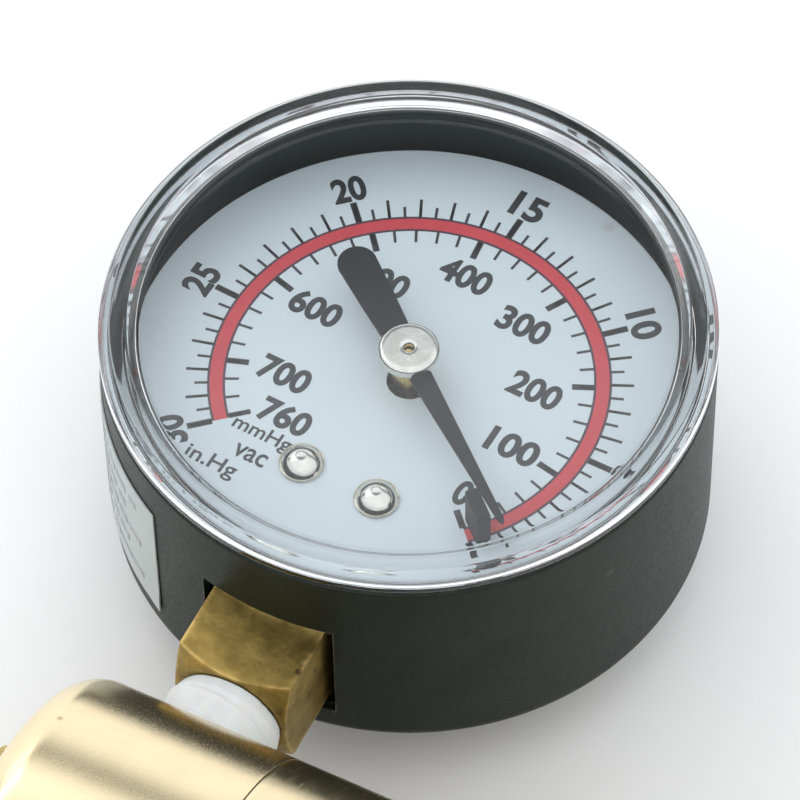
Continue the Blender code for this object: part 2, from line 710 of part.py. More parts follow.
def build_return_spring():
    start = PISTON_END + SPRING_WIRE_R + GAP
    end = GUIDE_START - SPRING_WIRE_R - GAP
    per_turn = 12
    points = []
    for i in range(SPRING_TURNS * per_turn + 1):
        angle = 2 * math.pi * i / per_turn
        x = start + (end - start) * i / (SPRING_TURNS * per_turn)
        points.append((x, SPRING_MEAN_R * math.cos(angle), SPRING_MEAN_R * math.sin(angle)))
    finish(wire("return_spring", points, SPRING_WIRE_R, (0, 0, AXIS_Z), sides=0), STEEL)


def frame_screw_places():
    for i in range(4):
        angle = math.pi / 4 + math.pi / 2 * i
        yield i + 1, FRAME_SCREW_CIRCLE * math.cos(angle), AXIS_Z + FRAME_SCREW_CIRCLE * math.sin(angle)


def build_rod_guide():
    flange_end = FLANGE_START + GUIDE_FLANGE
    profile = [
        (BARREL_R, flange_end - GUIDE_START),
        (BARREL_R, FLANGE_START - GUIDE_START),
        (BORE_R - GAP, FLANGE_START - GUIDE_START),
        (BORE_R - GAP, 0),
        (BUSH_R + GAP, 0),
        (BUSH_R + GAP, flange_end - GUIDE_START),
    ]
    guide = turned("rod_guide", profile, (GUIDE_START, 0, AXIS_Z), "+X", closed=True)
    for i, y, z in frame_screw_places():
        hole_start = flange_end - FRAME_SCREW_BITE - 1 * MM
        hole = rod(f"guide_screw_hole_{i}", FRAME_SCREW_R + GAP, 20 * MM, (hole_start, y, z), "+X", 12)
        cut(guide, hole)
    finish(guide, NYLON)
    bush_profile = [
        (BUSH_R, flange_end - GUIDE_START - SEAM),
        (BUSH_R, 0.5 * MM),
        (ROD_R + GAP, 0.5 * MM),
        (ROD_R + GAP, flange_end - GUIDE_START - SEAM),
    ]
    finish(turned("rod_bush", bush_profile, (GUIDE_START, 0, AXIS_Z), "+X", MEDIUM, closed=True), BRASS)


# ---------------------------------------------------------------- frame, lever and grips


def lever_point(distance, angle=-LEVER_SWEEP / 2):
    """A point on the lever's line, so far from its pin; the angle is measured from straight down."""
    return (LEVER_PIN_X + distance * math.sin(angle), LEVER_PIN_Y - distance * math.cos(angle))


def lever_path():
    slot = LEVER_DROP / math.cos(LEVER_SWEEP / 2)
    stations = [
        (0, LEVER_BOSS_R),
        (slot, LEVER_SLOT_HALF_WIDTH),
        (slot + 18 * MM, LEVER_HALF_WIDTH),
        (LEVER_LENGTH * 0.72, LEVER_HALF_WIDTH - 0.4 * MM),
        (LEVER_LENGTH, LEVER_HALF_WIDTH - 0.4 * MM),
    ]
    return smooth_path([(*lever_point(distance), half) for distance, half in stations])


def handle_path():
    """The fixed handle's centre line, which follows the squeezed lever at a hand's clearance."""
    offset = LEVER_HALF_WIDTH + HANDLE_HALF_WIDTH + 2 * GRIP_WALL + HAND_GAP
    slope = math.tan(LEVER_SWEEP / 2)
    points = []
    for drop in (-4 * MM, 30 * MM, 66 * MM, HANDLE_REACH):
        along = LEVER_DROP + drop
        x = LEVER_PIN_X + along * slope + offset / math.cos(LEVER_SWEEP / 2)
        points.append((x, -drop, HANDLE_HALF_WIDTH))
    return smooth_path(points)


def cheek_outline():
    """Side plate: front wall, ear round the lever pin, and the root of the handle."""
    handle_top = handle_path()[0]
    rear = handle_top.x + HANDLE_HALF_WIDTH + 1.0 * MM
    ear = arc((LEVER_PIN_X, LEVER_PIN_Y), EAR_R, 135, 20, 8)
    rear_top = arc((rear - 10 * MM, handle_top.y - 2 * MM), 10 * MM, 70, 0, 5)
    handle_low = handle_path()[5]
    return [
        (FRAME_START, -BARREL_R),
        (FRAME_START, BARREL_R),
        *ear,
        *rear_top,
        (handle_low.x + HANDLE_HALF_WIDTH + 1.0 * MM, handle_low.y),
        (handle_low.x - HANDLE_HALF_WIDTH - 1.0 * MM, handle_low.y),
        (LEVER_PIN_X + 6 * MM, -BARREL_R - 2 * MM),
        (FRAME_INSIDE + 8 * MM, -BARREL_R),
    ]


def build_frame():
    width = 2 * BARREL_R
    outline = cheek_outline()
    frame = plate("pump_frame", [outline], 0, width)
    round_edges(frame, 1.0 * MM, 2)
    pocket_rear = handle_path()[0].x - HANDLE_HALF_WIDTH + 1.0 * MM
    lever_room = [
        (FRAME_INSIDE, -BARREL_R - 60 * MM),
        (FRAME_INSIDE, LEVER_PIN_Y + EAR_R + 2 * MM),
        (pocket_rear, LEVER_PIN_Y + EAR_R + 2 * MM),
        (pocket_rear, 8 * MM),
        (pocket_rear + (8 * MM + BARREL_R + 60 * MM) * math.tan(LEVER_SWEEP / 2), -BARREL_R - 60 * MM),
    ]
    cut(frame, plate("lever_room", [lever_room[::-1]], CHEEK, width - CHEEK))
    core_low = AXIS_Z - HANDLE_CORE / 2
    core = plate("handle_core", [strip(handle_path())], core_low, core_low + HANDLE_CORE)
    join(frame, round_edges(core, 2.5 * MM, 2))
    before = FRAME_START - 3 * MM
    cut(frame, rod("rod_way", ROD_R + 1 * MM, FRAME_WALL + 6 * MM, (before, 0, AXIS_Z), "+X", MEDIUM))
    for i, y, z in frame_screw_places():
        cut(frame, rod(f"frame_screw_hole_{i}", FRAME_SCREW_R + GAP, 12 * MM, (before, y, z), "+X", 12))
    pin_way = [
        (0, width + 1 * MM),
        (PIN_HEAD_R + GAP, width + 1 * MM),
        (PIN_HEAD_R + GAP, width - PIN_RECESS),
        (LEVER_PIN_R + GAP, width - PIN_RECESS),
        (LEVER_PIN_R + GAP, PIN_RECESS),
        (PIN_HEAD_R + GAP, PIN_RECESS),
        (PIN_HEAD_R + GAP, -1 * MM),
        (0, -1 * MM),
    ]
    cut(frame, turned("lever_pin_way", pin_way, (LEVER_PIN_X, LEVER_PIN_Y, 0), steps=MEDIUM))
    finish(frame, GOLD)


def build_lever_pin():
    width = 2 * BARREL_R
    head = PIN_RECESS - GAP
    neck_low = width - PIN_RECESS + 0.2 * MM
    neck_high = neck_low + 0.8 * MM
    profile = [
        (0, width - GAP),
        (LEVER_PIN_R, width - GAP),
        (LEVER_PIN_R, neck_high),
        (LEVER_PIN_R - 0.6 * MM, neck_high),
        (LEVER_PIN_R - 0.6 * MM, neck_low),
        (LEVER_PIN_R, neck_low),
        (LEVER_PIN_R, head),
        (PIN_HEAD_R, head),
        (PIN_HEAD_R, GAP),
        (0, GAP),
    ]
    finish(turned("lever_pin", profile, (LEVER_PIN_X, LEVER_PIN_Y, 0), "+Z", MEDIUM), STEEL)
    inner = LEVER_PIN_R - 0.6 * MM + 0.1 * MM
    outer = PIN_HEAD_R - 0.3 * MM
    opening = 35
    ring = arc((LEVER_PIN_X, LEVER_PIN_Y), outer, opening, 360 - opening, 20)
    ring += arc((LEVER_PIN_X, LEVER_PIN_Y), inner, 360 - opening, opening, 14)
    clip = plate("pin_clip", [ring], neck_low + 0.1 * MM, neck_high - 0.1 * MM)
    finish(clip, STEEL)


def build_frame_screws():
    for i, y, z in frame_screw_places():
        profile = [
            (0, FRAME_SCREW_HEAD),
            (FRAME_SCREW_HEAD_R, FRAME_SCREW_HEAD),
            (FRAME_SCREW_HEAD_R, 0),
            (FRAME_SCREW_R, 0),
            (FRAME_SCREW_R, -FRAME_WALL - FRAME_SCREW_BITE),
            (0, -FRAME_WALL - FRAME_SCREW_BITE),
        ]
        place = (FRAME_INSIDE + SEAM, y, z)
        screw = turned(f"frame_screw_{i}", profile, place, "+X", 14)
        socket = hexagon(f"frame_screw_socket_{i}", 1.4 * MM, 3 * MM, (place[0] + 1.4 * MM, y, z), "+X")
        finish(cut(screw, socket), STEEL)


def build_lever():
    low = AXIS_Z - LEVER_THICKNESS / 2
    high = AXIS_Z + LEVER_THICKNESS / 2
    lever = plate("lever", [strip(lever_path())], low, high)
    round_edges(lever, 1.5 * MM, 2)
    boss_length = 2 * (BARREL_R - CHEEK - 0.5 * MM)
    boss_low = (LEVER_PIN_X, LEVER_PIN_Y, AXIS_Z - boss_length / 2)
    join(lever, rod("lever_boss", LEVER_BOSS_R, boss_length, boss_low, "+Z", MEDIUM))
    pin_low = (LEVER_PIN_X, LEVER_PIN_Y, -1 * MM)
    cut(lever, rod("lever_pin_bore", LEVER_PIN_R + GAP, 2 * BARREL_R + 2 * MM, pin_low, "+Z", MEDIUM))
    near = lever_point(LEVER_DROP - SLOT_SPARE)
    far = lever_point(LEVER_DROP / math.cos(LEVER_SWEEP / 2) + SLOT_SPARE)
    slot_half = CROSS_PIN_R + SLOT_CLEARANCE
    slot_path = [Vector((*near, slot_half)), Vector((*far, slot_half))]
    cut(lever, plate("lever_slot", [strip(slot_path)], low - 1 * MM, high + 1 * MM))
    fork_half = ROD_EYE_THICKNESS / 2 + 0.6 * MM
    fork_low = (*lever_point(LEVER_DROP + 0.6 * MM), AXIS_Z - fork_half)
    cut(lever, rod("lever_fork", ROD_EYE_R + 4.8 * MM, 2 * fork_half, fork_low, "+Z", MEDIUM))
    finish(lever, GOLD, lever_axis)


def sleeve(name, path, low, high, hollow_low, hollow_high, look, parent):
    """A dipped grip over a bar's end: a strip with the bar's own hollow in it."""
    body = plate(name, [strip(path, GRIP_WALL, round_start=False)], low, high)
    round_edges(body, 2.2 * MM, 2)
    ahead = (path[0] - path[1]).normalized() * 6 * MM
    start = Vector((path[0].x + ahead.x, path[0].y + ahead.y, path[0].z))
    hollow = plate(f"{name}_hollow", [strip([start, *path], GAP)], hollow_low - GAP, hollow_high + GAP)
    cut(body, hollow)
    return finish(body, look, parent)


def build_grips():
    lever_low, lever_high = AXIS_Z - LEVER_THICKNESS / 2, AXIS_Z + LEVER_THICKNESS / 2
    lever_end = lever_path()[11:]
    sleeve(
        "lever_grip", lever_end, lever_low - GRIP_WALL, lever_high + GRIP_WALL, lever_low, lever_high,
        VINYL, lever_axis,
    )
    core_low, core_high = AXIS_Z - HANDLE_CORE / 2, AXIS_Z + HANDLE_CORE / 2
    handle_end = handle_path()[6:]
    sleeve("handle_grip", handle_end, 0, 2 * BARREL_R, core_low, core_high, VINYL, root)


# ---------------------------------------------------------------- gauge body


def build_case():
    floor, top, bottom = CASE_WALL - CASE_DROP, CASE_RISE, -CASE_DROP
    corner = arc((CASE_R - CASE_CORNER, bottom + CASE_CORNER), CASE_CORNER, 0, -90, 4)
    profile = [(0, floor), (CASE_INNER_R, floor), (CASE_INNER_R, top), (CASE_R, top), *corner, (0, bottom)]
    case = turned("gauge_case", profile, (GAUGE_X, GAUGE_Y, DIAL_Z))
    half = SOCKET_SIDE / 2 + 0.5 * MM
    notch_from, notch_to = CASE_FRONT_Y - 4.8 * MM, CASE_FRONT_Y + 7.2 * MM
    cut(case, box("socket_notch", (-half, notch_from, AXIS_Z - half), (half, notch_to, AXIS_Z + half)))
    for i, y in enumerate(CASE_SCREW_Y):
        place = (0, y, DIAL_Z - CASE_DROP - 2 * MM)
        cut(case, rod(f"case_screw_hole_{i + 1}", CASE_SCREW_R + 0.8 * MM, 6 * MM, place, "+Z", 12))
    finish(case, BLACK_PAINT)


def build_lens():
    window_top = LENS_WINDOW_RISE
    window_low = LENS_WINDOW_RISE - LENS_WINDOW
    flange = CASE_RISE + GAP
    skirt_r = CASE_INNER_R - GAP
    inner_r = skirt_r - LENS_SKIRT
    profile = [
        (0, window_top),
        (inner_r - 1.0 * MM, window_top),
        (inner_r - 0.5 * MM, LENS_RISE - 0.2 * MM),
        (inner_r, LENS_RISE),
        (CASE_R - 1.1 * MM, LENS_RISE),
        (CASE_R - 0.6 * MM, LENS_RISE - 0.5 * MM),
        (CASE_R, flange + 0.3 * MM),
        (CASE_R, flange),
        (skirt_r, flange),
        (skirt_r, GAP),
        (inner_r, GAP),
        (inner_r, window_low - 0.4 * MM),
        (inner_r - 0.4 * MM, window_low),
        (0, window_low),
    ]
    finish(turned("gauge_lens", profile, (GAUGE_X, GAUGE_Y, DIAL_Z)), CLEAR)


def dial_screw_places():
    yield 1, *on_dial(-DIAL_SCREW_X, -DIAL_SCREW_Y)
    yield 2, *on_dial(DIAL_SCREW_X, -DIAL_SCREW_Y)


def build_dial():
    ring = [(DIAL_R, 0), (DIAL_R, -DIAL_THICKNESS), (2.0 * MM, -DIAL_THICKNESS), (2.0 * MM, 0)]
    dial = turned("gauge_dial", ring, (GAUGE_X, GAUGE_Y, DIAL_Z), closed=True)
    for i, x, y in dial_screw_places():
        cut(dial, rod(f"dial_screw_hole_{i}", 1.4 * MM, 4 * MM, (x, y, DIAL_Z - 2 * MM), "+Z", 12))
        seat, shank = SEAM, -DIAL_THICKNESS - 3.0 * MM
        dome = [(radius, seat + height * 0.62) for radius, height in arc((0, 0), DIAL_SCREW_HEAD_R, 90, 0, 5)]
        profile = [*dome, (1.0 * MM, seat), (1.0 * MM, shank), (0, shank)]
        screw = turned(f"dial_screw_{i}", profile, (x, y, DIAL_Z), steps=SMALL)
        finish(screw, STEEL)
    finish(dial, WHITE_PAINT)


def build_socket():
    """The square brass block, its threaded stem, and the foot that carries the tube, movement and dial."""
    half = SOCKET_SIDE / 2
    front = GAUGE_Y - SOCKET_FRONT
    corner = half + GAUGE_SIDE_SHIFT
    root_start = GAUGE_Y - math.sqrt(CASE_INNER_R**2 - corner**2) + 2 * GAP
    block_end = root_start + 1 * MM
    root_end = GAUGE_Y - 14.6 * MM
    foot_end = GAUGE_Y - 4.5 * MM
    foot_low = CASE_FLOOR_Z + GAP
    socket = box("gauge_socket", (-half, front, AXIS_Z - half), (half, block_end, AXIS_Z + half))
    trim_r = half + 5 * MM
    trim = [
        (0, block_end + 1 * MM - front),
        (trim_r, block_end + 1 * MM - front),
        (trim_r, (trim_r - half) * math.tan(SOCKET_CHAMFER)),
        (half, 0),
        (0, 0),
    ]
    boolean(socket, turned("corner_trim", trim, (0, front, AXIS_Z), "+Y"), "INTERSECT")
    inner = half - 0.2 * MM
    foot_half = inner - 0.2 * MM
    join(
        socket,
        box("tube_root", (-inner, root_start, foot_low), (inner, root_end, AXIS_Z + 2.2 * MM)),
        box("foot", (-foot_half, root_end - 2 * MM, foot_low), (foot_half, foot_end, FOOT_TOP_Z)),
    )
    for i, x, y in dial_screw_places():
        post_top = DIAL_Z - DIAL_THICKNESS - SEAM
        post_low = FOOT_TOP_Z - 1 * MM
        join(socket, rod(f"dial_post_{i}", 2.0 * MM, post_top - post_low, (x, y, post_low), steps=16))
    stem = [
        (0, front + 1 * MM - STEM_END),
        (STEM_R, front + 1 * MM - STEM_END),
        (STEM_R, 0.6 * MM),
        (STEM_R - 0.6 * MM, 0),
        (0, 0),
    ]
    join(socket, turned("stem", stem, (0, STEM_END, AXIS_Z), "+Y", MEDIUM))
    cut(socket, rod("stem_bore", 1.5 * MM, 28 * MM, (0, STEM_END - 1 * MM, AXIS_Z), "+Y", 16))
    for i, x, y in dial_screw_places():
        cut(socket, rod(f"dial_post_bore_{i}", 1.3 * MM, 6 * MM, (x, y, DIAL_Z - 4.5 * MM), steps=12))
    for i, y in enumerate(CASE_SCREW_Y):
        bore_low = (0, y, foot_low - 1 * MM)
        cut(socket, rod(f"socket_screw_bore_{i + 1}", CASE_SCREW_R + GAP, 5 * MM, bore_low, steps=12))
    finish(socket, BRASS)


def build_case_screws():
    for i, y in enumerate(CASE_SCREW_Y):
        bottom = DIAL_Z - CASE_DROP
        round_head = arc((0, 0), CASE_SCREW_HEAD_R, 0, -90, 4)
        dome = [(radius, height * 0.55 - SEAM) for radius, height in round_head]
        profile = [(0, 4.2 * MM), (CASE_SCREW_R, 4.2 * MM), (CASE_SCREW_R, -SEAM), *dome]
        finish(turned(f"case_screw_{i + 1}", profile, (0, y, bottom), steps=16), STEEL)


def build_thread_tape():
    """PTFE tape wound on the stem's thread: a lumpy sleeve from the block into the port."""
    front = GAUGE_Y - SOCKET_FRONT
    length = front - SEAM - (STEM_END + 1.5 * MM)
    inner = STEM_R + 0.2 * MM
    bulge = 0.12 * MM
    turns = 6
    outer = [(TAPE_R + bulge * (-1) ** i, length * (1 - i / turns)) for i in range(turns + 1)]
    outer[0] = (TAPE_R - 0.2 * MM, length)
    profile = [*outer, (inner, 0), (inner, length)]
    tape = turned("thread_tape", profile, (0, front - SEAM - length, AXIS_Z), "+Y", MEDIUM, closed=True)
    finish(tape, TAPE_WHITE)


def build_label():
    """A paper label bent round the case's -X side."""
    inner = CASE_R + 0.05 * MM
    centre = (GAUGE_X, GAUGE_Y)
    outline = arc(centre, inner + LABEL_THICKNESS, LABEL_FROM, LABEL_TO, 10)
    outline += arc(centre, inner, LABEL_TO, LABEL_FROM, 10)
    finish(plate("gauge_label", [outline], DIAL_Z + LABEL_LOW, DIAL_Z + LABEL_HIGH), LABEL_WHITE)


# ---------------------------------------------------------------- gauge movement


def polar(radius, degrees):
    return on_dial(radius * math.cos(math.radians(degrees)), radius * math.sin(math.radians(degrees)))


def build_bourdon_tube():
    """A flattened brass tube bent from the socket round to its free tip."""
    beside = math.degrees(math.asin((SOCKET_SIDE / 2 + GAUGE_SIDE_SHIFT + 0.5 * MM) / BOURDON_R))
    start, end = -90 - beside, TIP_ANGLE - 360
    steps = 40
    points = [(*p, 0) for p in arc((0, 0), BOURDON_R, start, end, steps)]
    stretch = BOURDON_HALF_HEIGHT / BOURDON_HALF_THICKNESS
    place = (GAUGE_X, GAUGE_Y, BOURDON_Z)
    finish(wire("bourdon_tube", points, BOURDON_HALF_THICKNESS, place, sides=1, flatten=stretch), BRASS)


def build_bourdon_tip():
    """The block soldered on the tube's free end, with an ear that the link reaches."""
    start, end = TIP_ANGLE - 0.5, TIP_ANGLE - 9.5
    half = 1.3 * MM
    outline = arc((GAUGE_X, GAUGE_Y), BOURDON_R + half, start, end, 3)
    outline += arc((GAUGE_X, GAUGE_Y), BOURDON_R - half - 2.4 * MM, end, start, 3)
    tip = plate("bourdon_tip", [outline], BOURDON_Z - 1.6 * MM, BOURDON_Z + 1.6 * MM)
    finish(tip, BRASS)


def movement_outline():
    """A plate under the pinion, the sector's pivot and both pillars."""
    left = [(-2.4, -8.0), (-6.4, -5.2), (-6.4, 5.4), (-2.2, 13.4)]
    right = [(-x, y) for x, y in left[::-1]]
    return [on_dial(x * MM, y * MM) for x, y in left + right][::-1]


def build_movement_plates():
    shaft = on_dial(0, 0)
    pivot = on_dial(*SECTOR_PIVOT)
    for name, low in (("movement_back_plate", BACK_PLATE_Z), ("movement_front_plate", FRONT_PLATE_Z)):
        piece = plate(name, [movement_outline()], low, low + PLATE_THICKNESS)
        below = low - 1 * MM
        cut(
            piece,
            rod(f"{name}_shaft_hole", SHAFT_R + GAP, 3 * MM, (*shaft, below), steps=12),
            rod(f"{name}_pivot_hole", 0.7 * MM + GAP, 3 * MM, (*pivot, below), steps=12),
        )
        if low == FRONT_PLATE_Z:
            for i, x, y in dial_screw_places():
                cut(piece, rod(f"{name}_post_way_{i}", 2.6 * MM, 3 * MM, (x, y, below), steps=16))
        finish(piece, BRASS)
    low = BACK_PLATE_Z + PLATE_THICKNESS + SEAM
    for i, (x, y) in enumerate(PILLAR_PLACES):
        place = (*on_dial(x, y), low)
        finish(rod(f"movement_pillar_{i + 1}", 1.1 * MM, FRONT_PLATE_Z - SEAM - low, place, steps=12), BRASS)


def build_pinion():
    """The pointer's shaft, with its pinion between the plates and the collar that shows over the dial."""
    low = BACK_PLATE_Z - 0.4 * MM
    collar_low = DIAL_Z + 0.4 * MM
    collar_high = DIAL_Z + POINTER_RISE - GAP / 3
    top = DIAL_Z + POINTER_RISE + POINTER_THICKNESS + 0.4 * MM
    gear_low, gear_high = SECTOR_Z - 0.9 * MM, SECTOR_Z + 0.9 * MM
    profile = [
        (0, top),
        (SHAFT_R, top),
        (SHAFT_R, collar_high),
        (1.5 * MM, collar_high),
        (1.5 * MM, collar_low),
        (SHAFT_R, collar_low),
        (SHAFT_R, low),
        (0, low),
    ]
    shaft = turned("pinion_shaft", profile, (GAUGE_X, GAUGE_Y, 0), steps=16)
    teeth = 10
    outline = []
    for i in range(2 * teeth):
        radius = PINION_R + (TOOTH if i % 2 == 0 else -0.1 * MM)
        angle = math.pi * i / teeth
        outline.append((GAUGE_X + radius * math.cos(angle), GAUGE_Y + radius * math.sin(angle)))
    join(shaft, plate("pinion_teeth", [outline], gear_low, gear_high))
    finish(shaft, BRASS, pointer_axis)


def build_sector():
    """The toothed sector on its arbor, and the tail that the link pulls."""
    outline = []
    for i in range(2 * SECTOR_TEETH + 1):
        radius = SECTOR_R + (TOOTH if i % 2 else -TOOTH)
        angle = math.radians(-77 - SECTOR_SPAN / 2 + SECTOR_SPAN * i / (2 * SECTOR_TEETH))
        outline.append((radius * math.cos(angle), radius * math.sin(angle)))
    outline += arc((0, 0), 1.8 * MM, -50, -35, 1)
    tail = (TAIL_ARM * math.cos(math.radians(TAIL_ANGLE)), TAIL_ARM * math.sin(math.radians(TAIL_ANGLE)))
    outline += arc(tail, 1.1 * MM, TAIL_ANGLE - 80, TAIL_ANGLE + 80, 5)
    outline += arc((0, 0), 1.8 * MM, 30, 215, 7)
    turned_outline = []
    for x, y in outline:
        turned_outline.append(on_dial(x + SECTOR_PIVOT[0], y + SECTOR_PIVOT[1]))
    sector = plate("sector_gear", [turned_outline], SECTOR_Z - 0.4 * MM, SECTOR_Z + 0.4 * MM)
    pivot = on_dial(*SECTOR_PIVOT)
    low, high = BACK_PLATE_Z + 0.1 * MM, FRONT_PLATE_Z + PLATE_THICKNESS - 0.1 * MM
    join(sector, rod("sector_arbor", 0.7 * MM, high - low, (*pivot, low), steps=12))
    finish(sector, BRASS, sector_axis)
    return on_dial(tail[0] + SECTOR_PIVOT[0], tail[1] + SECTOR_PIVOT[1])


def build_link(tail):
    """The thin link from the sector's tail towards the tube's tip."""
    ear = on_dial((BOURDON_R - 3.0 * MM) * math.cos(math.radians(TIP_ANGLE - 5)),
                  (BOURDON_R - 3.0 * MM) * math.sin(math.radians(TIP_ANGLE - 5)))
    low = SECTOR_Z + 0.4 * MM + GAP / 2
    path = [Vector((*tail, 0.9 * MM)), Vector((*ear, 0.9 * MM))]
    link = plate("link", [strip(path)], low, low + 0.4 * MM)
    finish(link, STEEL, sector_axis)


def build_hairspring():
    """A flat spiral between the pinion shaft and a pillar, which keeps the teeth pressed one way."""
    turns, per_turn = 3, 16
    inner, outer = SHAFT_R + 0.5 * MM, 3.7 * MM
    points = []
    for i in range(turns * per_turn + 1):
        radius = inner + (outer - inner) * i / (turns * per_turn)
        angle = math.pi + 2 * math.pi * i / per_turn
        points.append((radius * math.cos(angle), radius * math.sin(angle), 0))
    place = (GAUGE_X, GAUGE_Y, FRONT_PLATE_Z - 0.7 * MM)
    finish(wire("hairspring", points, 0.1 * MM, place, sides=0, flatten=2.2), BRASS)


# ---------------------------------------------------------------- pointer and stop


def build_pointer():
    """A needle with a wide round tail, its hub and the post that it rests against at zero."""
    stations = [
        (-POINTER_TAIL + 1.75 * MM, 1.75 * MM),
        (-POINTER_TAIL + 5.0 * MM, 1.6 * MM),
        (-2.2 * MM, 1.3 * MM),
        (2.2 * MM, 1.15 * MM),
        (POINTER_TIP - 3.0 * MM, 0.55 * MM),
        (POINTER_TIP - 0.4 * MM, 0.35 * MM),
    ]
    heading = DIAL_TURN + POINTER_REST
    path = []
    for along, half in stations:
        path.append(Vector((GAUGE_X + along * math.cos(heading), GAUGE_Y + along * math.sin(heading), half)))
    low = DIAL_Z + POINTER_RISE
    needle = plate("gauge_pointer", [strip(path)], low, low + POINTER_THICKNESS)
    cut(needle, rod("pointer_hole", SHAFT_R + 0.1 * MM, 3 * MM, (GAUGE_X, GAUGE_Y, low - 1 * MM), steps=16))
    finish(needle, BLACK_PAINT, pointer_axis)
    hub_low = POINTER_RISE + POINTER_THICKNESS + 0.1 * MM
    hub = [
        (HUB_R - 0.3 * MM, hub_low + HUB_THICKNESS),
        (HUB_R, hub_low + HUB_THICKNESS - 0.3 * MM),
        (HUB_R, hub_low),
        (SHAFT_R + 0.1 * MM, hub_low),
        (SHAFT_R + 0.1 * MM, hub_low + 0.5 * MM),
        (0.45 * MM, hub_low + 0.55 * MM),
        (0.45 * MM, hub_low + HUB_THICKNESS),
    ]
    cap = turned("pointer_hub", hub, (GAUGE_X, GAUGE_Y, DIAL_Z), steps=MEDIUM, closed=True)
    finish(cap, STEEL, pointer_axis)


def build_zero_stop():
    inner, outer, half = 15.2 * MM, 18.4 * MM, 0.6 * MM
    needle_half = 0.45 * MM  # at the stop
    behind = needle_half + half + 0.25 * MM
    heading = DIAL_TURN + POINTER_REST - behind / ((inner + outer) / 2)
    post = box("zero_stop", (inner, -half, SEAM), (outer, half, POINTER_RISE + POINTER_THICKNESS + 0.6 * MM))
    post.data.transform(Matrix.Translation(post.location))
    post.location = (GAUGE_X, GAUGE_Y, DIAL_Z)
    post.rotation_euler = (0, 0, heading)
    finish(post, BLACK_PAINT)


def smooth_and_centre():
    """Shades the round pieces and puts the origin under the middle of the pump's box."""
    bpy.context.view_layer.update()
    graph = bpy.context.evaluated_depsgraph_get()
    low = Vector((math.inf,) * 3)
    high = Vector((-math.inf,) * 3)
    for obj in pump.objects:
        if obj.type != "MESH":
            continue
        obj.data.shade_smooth()
        sharp = math.radians(35)
        obj.data.set_sharp_from_angle(angle=sharp)
        evaluated = obj.evaluated_get(graph)
        for corner in evaluated.bound_box:
            at = evaluated.matrix_world @ Vector(corner)
            low = Vector(map(min, low, at))
            high = Vector(map(max, high, at))
    root.location = (-(low.x + high.x) / 2, -(low.y + high.y) / 2, -low.z)


build_head()
build_inlet_valve()
build_barrel()
build_nipple()
build_release_valve()
build_piston()
build_return_spring()
build_rod_guide()
build_frame()
build_lever_pin()
build_frame_screws()
build_lever()
build_grips()
build_case()
build_lens()
build_dial()
build_socket()
build_case_screws()
build_thread_tape()
build_label()
build_bourdon_tube()
build_bourdon_tip()
build_movement_plates()
build_pinion()
tail_place = build_sector()
build_link(tail_place)
build_hairspring()
build_pointer()
build_zero_stop()
smooth_and_centre()
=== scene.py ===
"""Looks of a hand vacuum pump lying on its side: dial gauge, taped stem, gold pump body and squeeze lever.

Pieces are built in millimetres about the axis they belong to, then set in place with their whole place in
their mesh. Places and outer sizes come from the frame; the values below are the details it doesn't hold.
"""

import json
import math
from functools import partial

import bmesh
import bpy
from mathutils import Matrix, Vector, noise

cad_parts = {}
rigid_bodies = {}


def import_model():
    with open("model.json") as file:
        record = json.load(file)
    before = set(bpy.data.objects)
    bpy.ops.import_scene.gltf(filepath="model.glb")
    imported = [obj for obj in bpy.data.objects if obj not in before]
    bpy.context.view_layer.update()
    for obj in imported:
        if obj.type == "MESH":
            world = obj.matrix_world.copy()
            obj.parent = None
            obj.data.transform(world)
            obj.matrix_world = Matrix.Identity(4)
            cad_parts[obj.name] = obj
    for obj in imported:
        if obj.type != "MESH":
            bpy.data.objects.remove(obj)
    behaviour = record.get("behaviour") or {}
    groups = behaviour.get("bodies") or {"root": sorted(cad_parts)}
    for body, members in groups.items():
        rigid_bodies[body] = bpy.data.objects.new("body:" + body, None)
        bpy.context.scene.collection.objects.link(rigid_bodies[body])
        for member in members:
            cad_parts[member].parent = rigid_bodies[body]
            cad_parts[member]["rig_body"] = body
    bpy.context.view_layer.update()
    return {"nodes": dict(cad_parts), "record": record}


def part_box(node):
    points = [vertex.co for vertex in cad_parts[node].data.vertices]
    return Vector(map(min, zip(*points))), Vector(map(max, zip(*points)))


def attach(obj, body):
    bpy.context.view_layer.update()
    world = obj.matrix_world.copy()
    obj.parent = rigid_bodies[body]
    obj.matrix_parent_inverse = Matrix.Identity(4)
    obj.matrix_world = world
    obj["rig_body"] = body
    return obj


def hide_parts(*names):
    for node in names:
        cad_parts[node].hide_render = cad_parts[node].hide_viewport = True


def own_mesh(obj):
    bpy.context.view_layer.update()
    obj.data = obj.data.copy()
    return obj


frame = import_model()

MM = 0.001
SIDES, SIDES_LARGE, SIDES_RING, SIDES_SMALL, SIDES_HOLE = 160, 192, 96, 64, 32  # of turned pieces
HOLD = 0.25  # from the ends of a long side to the points that keep it true
WELD = 0.0005  # points of a new shape nearer than this are one
CAD_WELD = 0.000001  # the same for a CAD mesh, in metres
PAST = 3  # how far a cutter reaches past what it cuts
nodes = frame["nodes"]
slot_of = {row["node"]: row["material_slot"] for row in frame["record"]["subparts"]}
scene = bpy.context.scene


def middle(node):
    low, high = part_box(node)
    return (low + high) / 2


def span(node):
    """A node's three sides in millimetres."""
    low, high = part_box(node)
    return (high - low) / MM


def above_dial(height):
    return (height - DIAL_Z) / MM


# -------------------- sizes and places, from the frame

